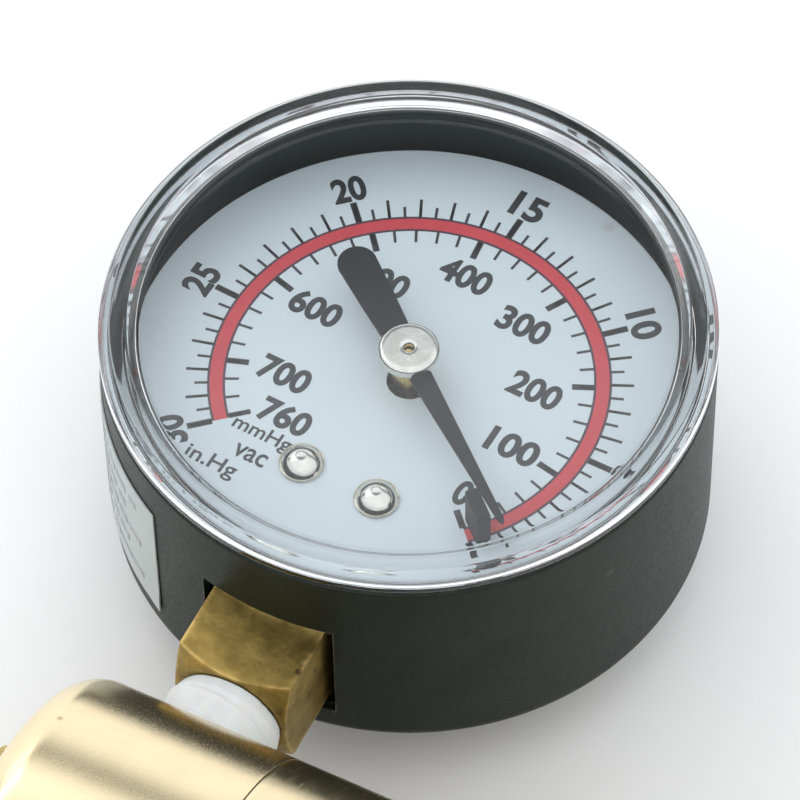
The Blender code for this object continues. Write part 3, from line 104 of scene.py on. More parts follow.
AXIS = Vector((middle("thread_tape").x, middle("pump_barrel").y, middle("pump_barrel").z))
CENTRE = middle("gauge_case")
DIAL_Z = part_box("gauge_dial")[1].z
across = middle("dial_screw_2") - middle("dial_screw_1")
DIAL_TURN = math.atan2(across.y, across.x)

BARREL_R = span("pump_barrel").z / 2
CASE_R = span("gauge_case").x / 2
CASE_RISE = above_dial(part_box("gauge_case")[1].z)
CASE_DROP = -above_dial(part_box("gauge_case")[0].z)
LENS_RISE = above_dial(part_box("gauge_lens")[1].z)
LENS_FOOT = above_dial(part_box("gauge_lens")[0].z)
DIAL_R = span("gauge_dial").x / 2
POINTER_RISE = above_dial(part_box("gauge_pointer")[0].z)
HUB_R = span("pointer_hub").x / 2

CASE_WALL = 0.8
CASE_CORNER = 1.6
CLEARANCE = 0.3
LENS_WALL = 0.9
WINDOW = 1.6
WINDOW_SUNK = 1.0  # from the lens's rim down to its window

ALONG_X = Matrix.Rotation(math.pi / 2, 4, "Y")
ALONG_Y = Matrix.Rotation(-math.pi / 2, 4, "X")
TO_METRES = Matrix.Scale(MM, 4)
GAUGE = Matrix.Translation((CENTRE.x, CENTRE.y, DIAL_Z)) @ TO_METRES
DIAL = GAUGE @ Matrix.Rotation(DIAL_TURN, 4, "Z")
BARREL = Matrix.Translation(AXIS) @ TO_METRES @ ALONG_X
STEM = Matrix.Translation(AXIS) @ TO_METRES @ ALONG_Y

# Dial print. Angles are in degrees on the dial, from its +X; one inch of mercury is one step.
PRINT = 0.02  # thickness of the printing
STEP_INCH = 8.907
ZERO_AT = -43.6
INCHES = 30
MM_PER_INCH = 25.4
BAND_IN, BAND_OUT = 15.95, 17.5
BAND_EDGE = 0.21  # the dark line along each side of the red band
OUTER_NUMBERS_R = 21.2


# -------------------- making and placing shapes


def new_object(name, mesh):
    obj = bpy.data.objects.new(name, mesh)
    scene.collection.objects.link(obj)
    return obj


def object_of(name, shape):
    mesh = bpy.data.meshes.new(name)
    shape.to_mesh(mesh)
    shape.free()
    return new_object(name, mesh)


def made_real(obj):
    """Replaces an object by one with a plain mesh of what its modifiers make."""
    bpy.context.view_layer.update()
    evaluated = obj.evaluated_get(bpy.context.evaluated_depsgraph_get())
    mesh = bpy.data.meshes.new_from_object(evaluated)
    name = obj.name
    bpy.data.objects.remove(obj, do_unlink=True)
    mesh.name = name
    return new_object(name, mesh)


def arc(centre, radius, start, end, count=8):
    """Points on an arc, both ends included, angles in degrees."""
    turns = [math.radians(start + (end - start) * i / count) for i in range(count + 1)]
    return [(centre[0] + radius * math.cos(a), centre[1] + radius * math.sin(a)) for a in turns]


def round_axis(radius, angle, height):
    return (radius * math.cos(angle), radius * math.sin(angle), height)


def supported(profile):
    """Adds a point close to both ends of each long side, so that smoothing leaves the side itself true."""
    points = [profile[0]]
    for start, end in zip(profile, profile[1:]):
        length = math.dist(start, end)
        if length > 4 * HOLD:
            run, rise = end[0] - start[0], end[1] - start[1]
            for share in (HOLD / length, 1 - HOLD / length):
                points.append((start[0] + run * share, start[1] + rise * share))
        points.append(end)
    return points


def turned(name, profile, sides=SIDES):
    """A profile of (radius, height) points spun about Z; one that starts off the axis is closed."""
    profile = supported(profile)
    shape = bmesh.new()
    ring = [shape.verts.new((radius, 0, height)) for radius, height in profile]
    pairs = list(zip(ring, ring[1:]))
    if profile[0][0] > 0:
        pairs.append((ring[-1], ring[0]))
    edges = [shape.edges.new(pair) for pair in pairs]
    bmesh.ops.spin(shape, geom=ring + edges, cent=(0, 0, 0), axis=(0, 0, 1), angle=2 * math.pi, steps=sides)
    return from_bmesh(name, shape)


def rod(name, radius, low, high, sides=SIDES_HOLE):
    """A plain cylinder, mostly to cut with."""
    return turned(name, [(0, low), (radius, low), (radius, high), (0, high)], sides)


def from_bmesh(name, shape):
    bmesh.ops.remove_doubles(shape, verts=shape.verts, dist=WELD)
    bmesh.ops.recalc_face_normals(shape, faces=shape.faces)
    return object_of(name, shape)


def block(name, low, high):
    shape = bmesh.new()
    bmesh.ops.create_cube(shape, size=1)
    low, high = Vector(low), Vector(high)
    bmesh.ops.scale(shape, vec=high - low, verts=shape.verts)
    bmesh.ops.translate(shape, vec=(low + high) / 2, verts=shape.verts)
    return from_bmesh(name, shape)


def plate(name, outline, low, high):
    """A flat piece of that outline between two heights."""
    shape = bmesh.new()
    face = shape.faces.new([shape.verts.new((x, y, low)) for x, y in outline])
    raised = bmesh.ops.extrude_face_region(shape, geom=[face])["geom"]
    top = [v for v in raised if isinstance(v, bmesh.types.BMVert)]
    bmesh.ops.translate(shape, vec=(0, 0, high - low), verts=top)
    return from_bmesh(name, shape)


def wrapped(name, point, rows, columns):
    """A closed sleeve: point(v, angle, inner) gives its outer and inner skins, v running from 0 to 1."""
    shape = bmesh.new()
    skins = []
    for inner in (False, True):
        skin = []
        for row in range(rows + 1):
            angles = [2 * math.pi * i / columns for i in range(columns)]
            skin.append([shape.verts.new(point(row / rows, angle, inner)) for angle in angles])
        skins.append(skin)
    loops = skins[0] + skins[1][::-1]
    for ring, ahead in zip(loops, loops[1:] + loops[:1]):
        for i in range(columns):
            j = (i + 1) % columns
            shape.faces.new((ring[i], ring[j], ahead[j], ahead[i]))
    return from_bmesh(name, shape)


def boolean(obj, other, operation="DIFFERENCE"):
    step = obj.modifiers.new("cut", "BOOLEAN")
    step.operation = operation
    step.object = other
    result = made_real(obj)
    bpy.data.objects.remove(other, do_unlink=True)
    return result


def drilled(obj, screws, radius, low, high):
    """Cuts an upright hole through a piece of the gauge, on the axis of each screw."""
    for name in screws:
        place = (middle(name) - CENTRE) / MM
        hole = rod("hole", radius, low, high)
        hole.data.transform(Matrix.Translation((place.x, place.y, 0)))
        obj = boolean(obj, hole)
    return obj


def rounded(obj, width, segments=2, angle=40):
    """A copy with every edge sharper than an angle bevelled, its flat faces still shaded flat."""
    bevel = obj.modifiers.new("soft_edges", "BEVEL")
    bevel.width = width
    bevel.segments = segments
    bevel.limit_method = "ANGLE"
    bevel.angle_limit = math.radians(angle)
    bevel.harden_normals = True
    obj.data.shade_smooth()
    return made_real(obj)


def refined(node, name, edge=0.0, segments=2, angle=40):
    """A welded copy of a CAD node, still in metres, with its edges eased by a width in millimetres."""
    shape = bmesh.new()
    shape.from_mesh(nodes[node].data)
    bmesh.ops.remove_doubles(shape, verts=shape.verts, dist=CAD_WELD)
    flat = math.radians(1)
    bmesh.ops.dissolve_limit(shape, angle_limit=flat, verts=shape.verts, edges=shape.edges)
    obj = object_of(name, shape)
    return rounded(obj, edge * MM, segments, angle) if edge else obj


def finished(obj, look, *stands_for, where=None, sharp=35):
    """Sets a piece in place, smooths it, gives it its material and ties it to the frame."""
    if where:
        obj.data.transform(where)
    if not obj.data.has_custom_normals:
        obj.data.shade_smooth()
        obj.data.set_sharp_from_angle(angle=math.radians(sharp))
    obj.data.materials.clear()
    obj.data.materials.append(look)
    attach(obj, nodes[stands_for[0]]["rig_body"])
    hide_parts(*stands_for)
    return obj


# -------------------- node groups


def add_node(tree, kind, links=None, **settings):
    """Adds a node; links gives each input a socket or a plain value."""
    node = tree.nodes.new(kind)
    for key, value in settings.items():
        setattr(node, key, value)
    for key, value in (links or {}).items():
        if isinstance(value, bpy.types.NodeSocket):
            tree.links.new(value, node.inputs[key])
        else:
            node.inputs[key].default_value = value
    return node


def worked_out(add, operation, *values, **settings):
    """The result of a sum on sockets or plain numbers."""
    return add("ShaderNodeMath", dict(enumerate(values)), operation=operation, **settings).outputs[0]


def new_group(name, kind, inputs, output):
    """A node group with named sockets; returns it, its input sockets and a function that adds nodes to it."""
    group = bpy.data.node_groups.new(name, kind)
    for label, of_kind, value in inputs:
        socket = group.interface.new_socket(label, in_out="INPUT", socket_type=f"NodeSocket{of_kind}")
        if value is not None:
            socket.default_value = value
    label, of_kind = output
    group.interface.new_socket(label, in_out="OUTPUT", socket_type=f"NodeSocket{of_kind}")
    return group, group.nodes.new("NodeGroupInput").outputs, partial(add_node, group)


def geometry_tree(name, inputs):
    inputs = [*inputs, ("Material", "Material", None)]
    return new_group(name, "GeometryNodeTree", inputs, ("Geometry", "Geometry"))


def mask_group(name, inputs):
    """A shader group that puts out one value from 0 to 1."""
    return new_group(name, "ShaderNodeTree", inputs, ("Mask", "Float"))


# -------------------- geometry trees for what repeats


def end_tree(tree, given, add, geometry):
    """Every tree ends in real meshes with the material it was given."""
    real = add("GeometryNodeRealizeInstances", {"Geometry": geometry})
    dressed = add("GeometryNodeSetMaterial", {"Geometry": real.outputs[0], "Material": given["Material"]})
    add("NodeGroupOutput", {0: dressed.outputs[0]})
    return tree


def grown(name, tree, look, **values):
    """The plain mesh that a tree makes with these inputs."""
    obj = new_object(name, bpy.data.meshes.new(name))
    step = obj.modifiers.new("make", "NODES")
    step.node_group = tree
    for socket in tree.interface.items_tree:
        if socket.in_out != "INPUT":
            continue
        if socket.name == "Material":
            step[socket.identifier] = look
        elif socket.name in values:
            step[socket.identifier] = values[socket.name]
    return made_real(obj)


def bars_tree():
    """Bars standing round an axis: scale marks and rows of print, with an optional random width."""
    tree, given, add = geometry_tree(
        "bars_round_an_axis",
        [("Count", "Int", 10), ("First", "Float", 0.0), ("Step", "Float", 10.0), ("Inner", "Float", 10.0),
         ("Outer", "Float", 11.0), ("Width", "Float", 1.0), ("Rise", "Float", 0.1), ("Vary", "Float", 0.0),
         ("Seed", "Int", 1)],
    )
    depth = worked_out(add, "SUBTRACT", given["Outer"], given["Inner"])
    sides = add("ShaderNodeCombineXYZ", {0: depth, 1: given["Width"], 2: given["Rise"]})
    bar = add("GeometryNodeMeshCube", {"Size": sides.outputs[0]})
    reach = worked_out(add, "MULTIPLY", worked_out(add, "ADD", given["Outer"], given["Inner"]), 0.5)
    half_rise = worked_out(add, "MULTIPLY", given["Rise"], 0.5)
    shift = add("ShaderNodeCombineXYZ", {0: reach, 2: half_rise})
    moved = add("GeometryNodeTransform", {"Geometry": bar.outputs[0], "Translation": shift.outputs[0]})
    points = add("GeometryNodeMeshLine", {"Count": given["Count"], "Offset": (0, 0, 0)})
    index = add("GeometryNodeInputIndex").outputs[0]
    angle = worked_out(add, "ADD", worked_out(add, "MULTIPLY", index, given["Step"]), given["First"])
    turn = add("ShaderNodeCombineXYZ", {2: worked_out(add, "RADIANS", angle)})
    chance = add("FunctionNodeRandomValue", {"Seed": given["Seed"]}, data_type="FLOAT")
    tree.links.new(worked_out(add, "SUBTRACT", 1.0, given["Vary"]), chance.inputs[2])
    size = add("ShaderNodeCombineXYZ", {0: 1.0, 1: chance.outputs[1], 2: 1.0})
    placed = add(
        "GeometryNodeInstanceOnPoints",
        {"Points": points.outputs[0], "Instance": moved.outputs[0], "Rotation": turn.outputs[0],
         "Scale": size.outputs[0]},
    )
    return end_tree(tree, given, add, placed.outputs[0])


def coil_tree():
    """A round wire wound in a spiral: the springs."""
    tree, given, add = geometry_tree(
        "wound_wire",
        [("Turns", "Float", 5.0), ("Radius", "Float", 5.0), ("Length", "Float", 10.0), ("Wire", "Float", 0.5),
         ("Steps", "Int", 32)],
    )
    spiral = add(
        "GeometryNodeCurveSpiral",
        {"Resolution": given["Steps"], "Rotations": given["Turns"], "Start Radius": given["Radius"],
         "End Radius": given["Radius"], "Height": given["Length"]},
    )
    section = add("GeometryNodeCurvePrimitiveCircle", {"Resolution": 12, "Radius": given["Wire"]})
    wire = add(
        "GeometryNodeCurveToMesh",
        {"Curve": spiral.outputs[0], "Profile Curve": section.outputs[0], "Fill Caps": True},
    )
    return end_tree(tree, given, add, wire.outputs[0])


BARS = bars_tree()
COIL = coil_tree()


# -------------------- shader groups and materials


def scaled_place(add, size, stretch=None):
    """Object coordinates in units of a size given in millimetres."""
    place = add("ShaderNodeTexCoord").outputs["Object"]
    if stretch:
        place = add("ShaderNodeVectorMath", {0: place, 1: stretch}, operation="MULTIPLY").outputs[0]
    share = worked_out(add, "DIVIDE", 1 / MM, size)
    return add("ShaderNodeVectorMath", {0: place, "Scale": share}, operation="SCALE").outputs[0]


def grain_group():
    """Uneven patches or fibres of a given size, from 0 to 1."""
    group, given, add = mask_group(
        "grain",
        [("Size", "Float", 1.0), ("Stretch", "Vector", (1, 1, 1)), ("Detail", "Float", 3.0),
         ("Low", "Float", 0.3), ("High", "Float", 0.7)],
    )
    place = scaled_place(add, given["Size"], given["Stretch"])
    mottle = add("ShaderNodeTexNoise", {"Vector": place, "Scale": 1.0, "Detail": given["Detail"]})
    spread = add(
        "ShaderNodeMapRange",
        {"Value": mottle.outputs[0], "From Min": given["Low"], "From Max": given["High"]},
    )
    add("NodeGroupOutput", {0: spread.outputs[0]})
    return group


def wear_group():
    """Worn edges: where a rounded normal leaves the true one, broken up by noise."""
    group, given, add = mask_group(
        "edge_wear", [("Radius", "Float", 0.4), ("Size", "Float", 1.5), ("Amount", "Float", 1.0)]
    )
    soft = add("ShaderNodeBevel", {"Radius": worked_out(add, "MULTIPLY", given["Radius"], MM)}, samples=6)
    true = add("ShaderNodeNewGeometry")
    normals = {0: soft.outputs[0], 1: true.outputs["Normal"]}
    same = add("ShaderNodeVectorMath", normals, operation="DOT_PRODUCT")
    edge = add("ShaderNodeMapRange", {"Value": same.outputs["Value"], "From Min": 0.995, "From Max": 0.86})
    place = scaled_place(add, given["Size"])
    chips = add("ShaderNodeTexNoise", {"Vector": place, "Scale": 1.0, "Detail": 4.0})
    broken = add("ShaderNodeMapRange", {"Value": chips.outputs[0], "From Min": 0.35, "From Max": 0.6})
    worn = worked_out(add, "MULTIPLY", edge.outputs[0], broken.outputs[0])
    add("NodeGroupOutput", {0: worked_out(add, "MULTIPLY", worn, given["Amount"], use_clamp=True)})
    return group


def speck_group():
    """Small round specks in some of the cells of a lattice."""
    group, given, add = mask_group("specks", [("Size", "Float", 2.0), ("Share", "Float", 0.1)])
    cells = add("ShaderNodeTexVoronoi", {"Vector": scaled_place(add, given["Size"]), "Scale": 1.0})
    near = add("ShaderNodeMapRange", {"Value": cells.outputs["Distance"], "From Min": 0.22, "From Max": 0.12})
    chance = add("ShaderNodeSeparateColor", {0: cells.outputs["Color"]})
    chosen = worked_out(add, "LESS_THAN", chance.outputs[0], given["Share"])
    add("NodeGroupOutput", {0: worked_out(add, "MULTIPLY", near.outputs[0], chosen)})
    return group


GRAIN = grain_group()
WEAR = wear_group()
SPECKS = speck_group()


def group_value(tree, group, **values):
    node = tree.nodes.new("ShaderNodeGroup")
    node.node_tree = group
    for label, value in values.items():
        node.inputs[label].default_value = value
    return node.outputs[0]


def mixed(tree, factor, first, second):
    """A mix of two colours, each a socket or three plain values."""
    mix = tree.nodes.new("ShaderNodeMix")
    mix.data_type = "RGBA"
    for place, value in ((0, factor), (6, first), (7, second)):
        if isinstance(value, bpy.types.NodeSocket):
            tree.links.new(value, mix.inputs[place])
        else:
            mix.inputs[place].default_value = (*value, 1)
    return mix.outputs[2]


def surface(name, pale, dark, size, rough, metallic=0.0, stretch=(1, 1, 1), spread=(0.3, 0.7), detail=3.0,
            bump=0.0, bump_size=0.3, bump_stretch=(1, 1, 1), wear=None, specks=None, constants=None):
    """A painted, plated or moulded finish. Sizes are in millimetres.

    pale and dark are mottled by grain of one size; rough is its lowest and highest roughness; bump is the
    height of a finer grain; wear is (radius, amount, colour); specks is (size, share, colour).
    """
    made = bpy.data.materials.new(name)
    made.use_nodes = True
    tree = made.node_tree
    shader = tree.nodes["Principled BSDF"]
    shader.inputs["Metallic"].default_value = metallic
    for label, value in (constants or {}).items():
        shader.inputs[label].default_value = value
    low, high = spread
    mottle = group_value(tree, GRAIN, Size=size, Stretch=stretch, Detail=detail, Low=low, High=high)
    colour = mixed(tree, mottle, pale, dark)
    fine = group_value(tree, GRAIN, Size=bump_size, Stretch=bump_stretch, Detail=2.0, Low=0.25, High=0.75)
    least, most = rough
    roughness = add_node(tree, "ShaderNodeMapRange", {"Value": fine, "To Min": least, "To Max": most})
    if specks:
        speck_size, share, speck_colour = specks
        spots = group_value(tree, SPECKS, Size=speck_size, Share=share)
        colour = mixed(tree, spots, colour, speck_colour)
    if wear:
        radius, amount, worn_colour = wear
        worn = group_value(tree, WEAR, Radius=radius, Amount=amount)
        colour = mixed(tree, worn, colour, worn_colour)
    tree.links.new(colour, shader.inputs["Base Color"])
    tree.links.new(roughness.outputs[0], shader.inputs["Roughness"])
    if bump:
        raised = add_node(tree, "ShaderNodeBump", {"Height": fine, "Distance": bump * MM, "Strength": 1.0})
        tree.links.new(raised.outputs[0], shader.inputs["Normal"])
    made.diffuse_color = (*pale, 1)
    return made


def clear_plastic():
    """Moulded clear plastic that lets the lamps through to the dial behind it."""
    made = bpy.data.materials.new("clear_moulded_plastic")
    made.use_nodes = True
    tree = made.node_tree
    shader = tree.nodes["Principled BSDF"]
    shader.inputs["Base Color"].default_value = (0.93, 0.955, 0.97, 1)
    shader.inputs["Transmission Weight"].default_value = 1.0
    shader.inputs["IOR"].default_value = 1.5
    haze = group_value(tree, GRAIN, Size=6.0, Low=0.35, High=0.8)
    roughness = add_node(tree, "ShaderNodeMapRange", {"Value": haze, "To Min": 0.01, "To Max": 0.05})
    tree.links.new(roughness.outputs[0], shader.inputs["Roughness"])
    through = tree.nodes.new("ShaderNodeBsdfTransparent")
    through.inputs[0].default_value = (0.9, 0.92, 0.94, 1)
    lamps = tree.nodes.new("ShaderNodeLightPath").outputs["Is Shadow Ray"]
    either = tree.nodes.new("ShaderNodeMixShader")
    tree.links.new(lamps, either.inputs[0])
    tree.links.new(shader.outputs[0], either.inputs[1])
    tree.links.new(through.outputs[0], either.inputs[2])
    tree.links.new(either.outputs[0], tree.nodes["Material Output"].inputs["Surface"])
    return made


ROUND_X = (1.0, 0.04, 0.04)  # stretches grain into rings round the X axis
GOLD = {
    "pale": (0.88, 0.745, 0.49), "dark": (0.83, 0.69, 0.44), "metallic": 1.0, "spread": (0.2, 0.8),
    "bump": 0.0012, "specks": (1.6, 0.02, (0.55, 0.44, 0.26)), "wear": (0.35, 0.5, (0.78, 0.68, 0.48)),
}
gold = surface("champagne_anodising", size=3.0, rough=(0.20, 0.29), bump_size=0.12, **GOLD)
gold_turned = surface(
    "champagne_anodised_tube", size=1.6, rough=(0.19, 0.28), stretch=ROUND_X, bump_size=0.14,
    bump_stretch=ROUND_X, **GOLD,
)
old_brass = surface(
    "aged_brass", (0.40, 0.285, 0.09), (0.22, 0.155, 0.045), 2.2, (0.42, 0.60), 1.0, spread=(0.35, 0.68),
    detail=8.0, bump=0.012, bump_size=0.45, specks=(1.7, 0.12, (0.07, 0.045, 0.02)),
    wear=(0.8, 1.0, (0.80, 0.57, 0.22)),
)
clean_brass = surface(
    "turned_brass", (0.66, 0.49, 0.20), (0.55, 0.39, 0.14), 1.2, (0.18, 0.34), 1.0, bump=0.002, bump_size=0.2,
    wear=(0.2, 0.6, (0.80, 0.62, 0.30)),
)
nickel = surface(
    "bright_nickel", (0.80, 0.78, 0.72), (0.70, 0.68, 0.62), 1.0, (0.07, 0.16), 1.0, bump=0.001,
    bump_size=0.3, specks=(0.9, 0.08, (0.35, 0.33, 0.30)),
)
steel = surface(
    "zinc_plated_steel", (0.62, 0.62, 0.60), (0.50, 0.51, 0.50), 1.4, (0.22, 0.38), 1.0, bump=0.002,
    bump_size=0.25, wear=(0.2, 0.7, (0.80, 0.80, 0.78)),
)
case_black = surface(
    "satin_black_enamel", (0.010, 0.016, 0.011), (0.007, 0.011, 0.008), 5.0, (0.36, 0.50), 0.0, bump=0.004,
    bump_size=0.35, specks=(2.3, 0.04, (0.035, 0.04, 0.035)), wear=(0.25, 0.8, (0.16, 0.155, 0.14)),
    constants={"Specular IOR Level": 0.2},
)
pointer_black = surface(
    "matt_black_paint", (0.012, 0.015, 0.018), (0.008, 0.010, 0.013), 1.5, (0.45, 0.62), 0.0, bump=0.002,
    bump_size=0.2, wear=(0.12, 0.4, (0.06, 0.06, 0.06)), constants={"Specular IOR Level": 0.15},
)
dial_white = surface(
    "dial_enamel", (0.77, 0.845, 0.875), (0.745, 0.82, 0.85), 9.0, (0.38, 0.52), 0.0, bump=0.001,
    bump_size=0.3, specks=(4.0, 0.03, (0.70, 0.72, 0.74)),
)
print_black = surface(
    "black_dial_ink", (0.012, 0.014, 0.017), (0.020, 0.023, 0.027), 0.8, (0.42, 0.6), bump=0.001,
    bump_size=0.12,
)
print_red = surface("red_dial_ink", (0.74, 0.045, 0.06), (0.68, 0.035, 0.05), 1.6, (0.4, 0.55), bump_size=0.2)
print_line = surface(
    "dark_edge_ink", (0.075, 0.018, 0.045), (0.05, 0.012, 0.04), 0.8, (0.4, 0.55), bump_size=0.2,
)
paper = surface(
    "label_paper", (0.47, 0.51, 0.50), (0.42, 0.465, 0.455), 4.0, (0.42, 0.6), bump=0.003, bump_size=0.15,
    specks=(2.2, 0.05, (0.50, 0.52, 0.50)),
)
label_ink = surface(
    "grey_label_ink", (0.30, 0.32, 0.32), (0.42, 0.44, 0.44), 0.6, (0.5, 0.65), bump_size=0.2,
)
tape_white = surface(
    "thread_tape_film", (0.76, 0.78, 0.78), (0.68, 0.70, 0.71), 1.8, (0.38, 0.55), 0.0, (1, 0.5, 1),
    bump=0.02, bump_size=0.9, bump_stretch=(0.35, 2.4, 0.35),
    constants={"Subsurface Weight": 0.25, "Subsurface Scale": 0.001},
)
rubber = surface("black_rubber", (0.022, 0.022, 0.023), (0.035, 0.034, 0.034), 2.0, (0.6, 0.8), bump=0.004)
nylon = surface("moulded_nylon", (0.80, 0.79, 0.74), (0.74, 0.73, 0.67), 3.0, (0.38, 0.52), bump=0.003)
vinyl = surface(
    "dipped_black_vinyl", (0.020, 0.020, 0.022), (0.030, 0.030, 0.032), 6.0, (0.34, 0.5), bump=0.02,
    bump_size=0.55, specks=(1.5, 0.02, (0.05, 0.05, 0.05)),
    constants={"Coat Weight": 0.15, "Coat Roughness": 0.3},
)
clear = clear_plastic()
table_white = surface("white_table", (0.93, 0.935, 0.935), (0.915, 0.92, 0.92), 30.0, (0.5, 0.6))


# -------------------- gauge case and lens

NOTCH_DEPTH = 7.2  # from the case's side inwards, for the brass socket
NOTCH_ROOM = 0.5
CASE_SCREW_HOLE_R = 1.8
CASE_RIM_ROUND = 0.2
LENS_RIM_IN, LENS_RIM_OUT = 23.9, 25.6
LENS_RIM_RUN = 0.9  # slope between the window and the raised rim
LENS_LEDGE = 0.75  # height of the lens's outer ledge over its seat
SKIRT_DEPTH = 1.4  # longest skirt below the seat


def make_case():
    """The pressed steel cup, open at the top, with a notch for the socket and two screw holes below it."""
    low, rim, ease = -CASE_DROP, CASE_RISE, CASE_RIM_ROUND
    inner = CASE_R - CASE_WALL
    inner_corner = CASE_CORNER - CASE_WALL
    profile = [
        (0, low + CASE_WALL),
        *arc((inner - inner_corner, low + CASE_WALL + inner_corner), inner_corner, -90, 0, 6),
        *arc((inner + ease, rim - ease), ease, 180, 90, 4),
        *arc((CASE_R - ease, rim - ease), ease, 90, 0, 4),
        *arc((CASE_R - CASE_CORNER, low + CASE_CORNER), CASE_CORNER, 0, -90, 10),
        (0, low),
    ]
    case = turned("case_shell", profile, SIDES_LARGE)
    stem_x, axis_z = (AXIS.x - CENTRE.x) / MM, above_dial(AXIS.z)
    half = span("gauge_socket").x / 2 + NOTCH_ROOM
    notch = block(
        "notch",
        (stem_x - half, -CASE_R - PAST, axis_z - half),
        (stem_x + half, -CASE_R + NOTCH_DEPTH, axis_z + half),
    )
    case = boolean(case, notch)
    case = drilled(case, ("case_screw_1", "case_screw_2"), CASE_SCREW_HOLE_R, low - PAST, low + PAST)
    finished(case, case_black, "gauge_case", where=GAUGE)


def make_lens():
    """The push-fit lens: a window sunk inside a raised rim, over a skirt that grips the cup."""
    skirt_out = CASE_R - CASE_WALL - CLEARANCE
    skirt_in = skirt_out - LENS_WALL
    seat = CASE_RISE + CLEARANCE
    foot = max(LENS_FOOT, seat - SKIRT_DEPTH)
    window_top = LENS_RISE - WINDOW_SUNK
    window_low = window_top - WINDOW
    hollow, crest, fall, ledge, edge, root, fillet = 0.35, 0.3, 0.25, 0.45, 0.2, 0.15, 0.5  # radii, in turn
    profile = [
        (0, window_top),
        *arc((LENS_RIM_IN - LENS_RIM_RUN, window_top + hollow), hollow, -90, -20, 4),
        *arc((LENS_RIM_IN + crest, LENS_RISE - crest), crest, 160, 90, 4),
        *arc((LENS_RIM_OUT - fall, LENS_RISE - fall), fall, 90, 35, 3),
        *arc((CASE_R - ledge, seat + LENS_LEDGE), ledge, 25, 0, 3),
        *arc((CASE_R - edge, seat + edge), edge, 0, -90, 3),
        *arc((skirt_out + root, seat - root), root, 90, 180, 3),
        (skirt_out, foot),
        (skirt_in, foot),
        (skirt_in, window_low - fillet),
        *arc((skirt_in - fillet, window_low - fillet), fillet, 0, 90, 5),
        (0, window_low),
    ]
    finished(turned("pressed_on_lens", profile, SIDES_LARGE), clear, "gauge_lens", where=GAUGE, sharp=50)


# -------------------- dial and its print

DIAL_BORE_R = 2.0
DIAL_THICK = 0.4
DIAL_EASE = 0.1
DIAL_SCREW_HOLE_R = 1.4
PRINT_LIFT = 0.005  # from the dial's face to the underside of the printing
TWENTY = 20 * STEP_INCH / MM_PER_INCH  # twenty millimetres of mercury, in degrees

# Scale marks: name, how many, first angle, step, inner and outer radius, width.
MARKS = (
    ("inch_heavy_marks", 7, ZERO_AT, 5 * STEP_INCH, BAND_OUT, 19.7, 0.60),
    ("inch_marks", 31, ZERO_AT, STEP_INCH, BAND_OUT, 19.4, 0.27),
    ("half_inch_marks", 61, ZERO_AT, STEP_INCH / 2, BAND_OUT, 18.6, 0.25),
    ("hundred_heavy_marks", 8, ZERO_AT, 5 * TWENTY, 14.05, BAND_IN, 0.58),
    ("twenty_marks", 39, ZERO_AT, TWENTY, 14.75, BAND_IN, 0.25),
    ("end_mark", 1, ZERO_AT + 38 * TWENTY, 0.0, 14.05, BAND_IN, 0.5),
)

# Lettering: the heights, and the widths of a digit, of the gap between two and of a whole number.
INCH_HIGH, INCH_DIGIT, INCH_GAP = 2.75, 1.35, 0.35
MM_HIGH, MM_DIGIT, MM_NUMBER = 2.65, 1.45, 4.8
MM_PLACES = {
    "0": (9.8, -7.9), "100": (11.2, -1.7), "200": (10.0, 4.4), "300": (5.8, 9.9), "400": (-1.2, 12.0),
    "500": (-7.3, 8.1), "600": (-10.9, 2.6), "700": (-9.7, -4.8), "760": (-7.4, -8.6),
}
UNITS = (  # text, height, width and place
    ("mmHg", 1.85, 5.6, (-8.2, -11.2)),
    ("vac", 1.35, 3.1, (-8.0, -13.5)),
    ("in.Hg", 2.0, 4.9, (-10.6, -15.8)),
)
NUMBER_WEIGHT, UNIT_WEIGHT = 0.036, 0.012  # how much the letters are thickened


def make_dial():
    """A thin white disc with an eased edge, bored for the pinion shaft and the two screws."""
    profile = [
        (DIAL_BORE_R, 0),
        (DIAL_R - DIAL_EASE, 0),
        (DIAL_R, -DIAL_EASE),
        (DIAL_R, -DIAL_THICK),
        (DIAL_BORE_R, -DIAL_THICK),
    ]
    dial = turned("dial_plate", profile)
    dial = drilled(dial, ("dial_screw_1", "dial_screw_2"), DIAL_SCREW_HOLE_R, -2, 2)
    finished(dial, dial_white, "gauge_dial", where=GAUGE)


def print_on_dial(obj, look):
    finished(obj, look, "gauge_dial", where=DIAL)


def degrees_of(inches):
    return ZERO_AT + STEP_INCH * inches


def band(name, inner, outer, rise):
    """A printed ring segment lying on the dial, as long as the scale."""
    first, last = degrees_of(0), degrees_of(INCHES)
    outline = arc((0, 0), outer, first, last, 120) + arc((0, 0), inner, last, first, 120)
    return plate(name, outline, PRINT_LIFT, PRINT_LIFT + rise)


def make_bands():
    """The red band between the two scales, and the dark line along each of its sides."""
    print_on_dial(band("red_band", BAND_IN + 0.1, BAND_OUT - 0.1, PRINT), print_red)
    for name, inner in (("band_edge_inner", BAND_IN), ("band_edge_outer", BAND_OUT - BAND_EDGE)):
        print_on_dial(band(name, inner, inner + BAND_EDGE, PRINT + 0.006), print_line)


def make_marks():
    """Scale marks: inches outside the red band and millimetres inside it, the heavy ones at the numbers."""
    for name, count, first, step, inner, outer, width in MARKS:
        marks = grown(
            name, BARS, print_black, Count=count, First=first, Step=step, Inner=inner, Outer=outer,
            Width=width, Rise=PRINT, Vary=0.0, Seed=1,
        )
        print_on_dial(marks, print_black)


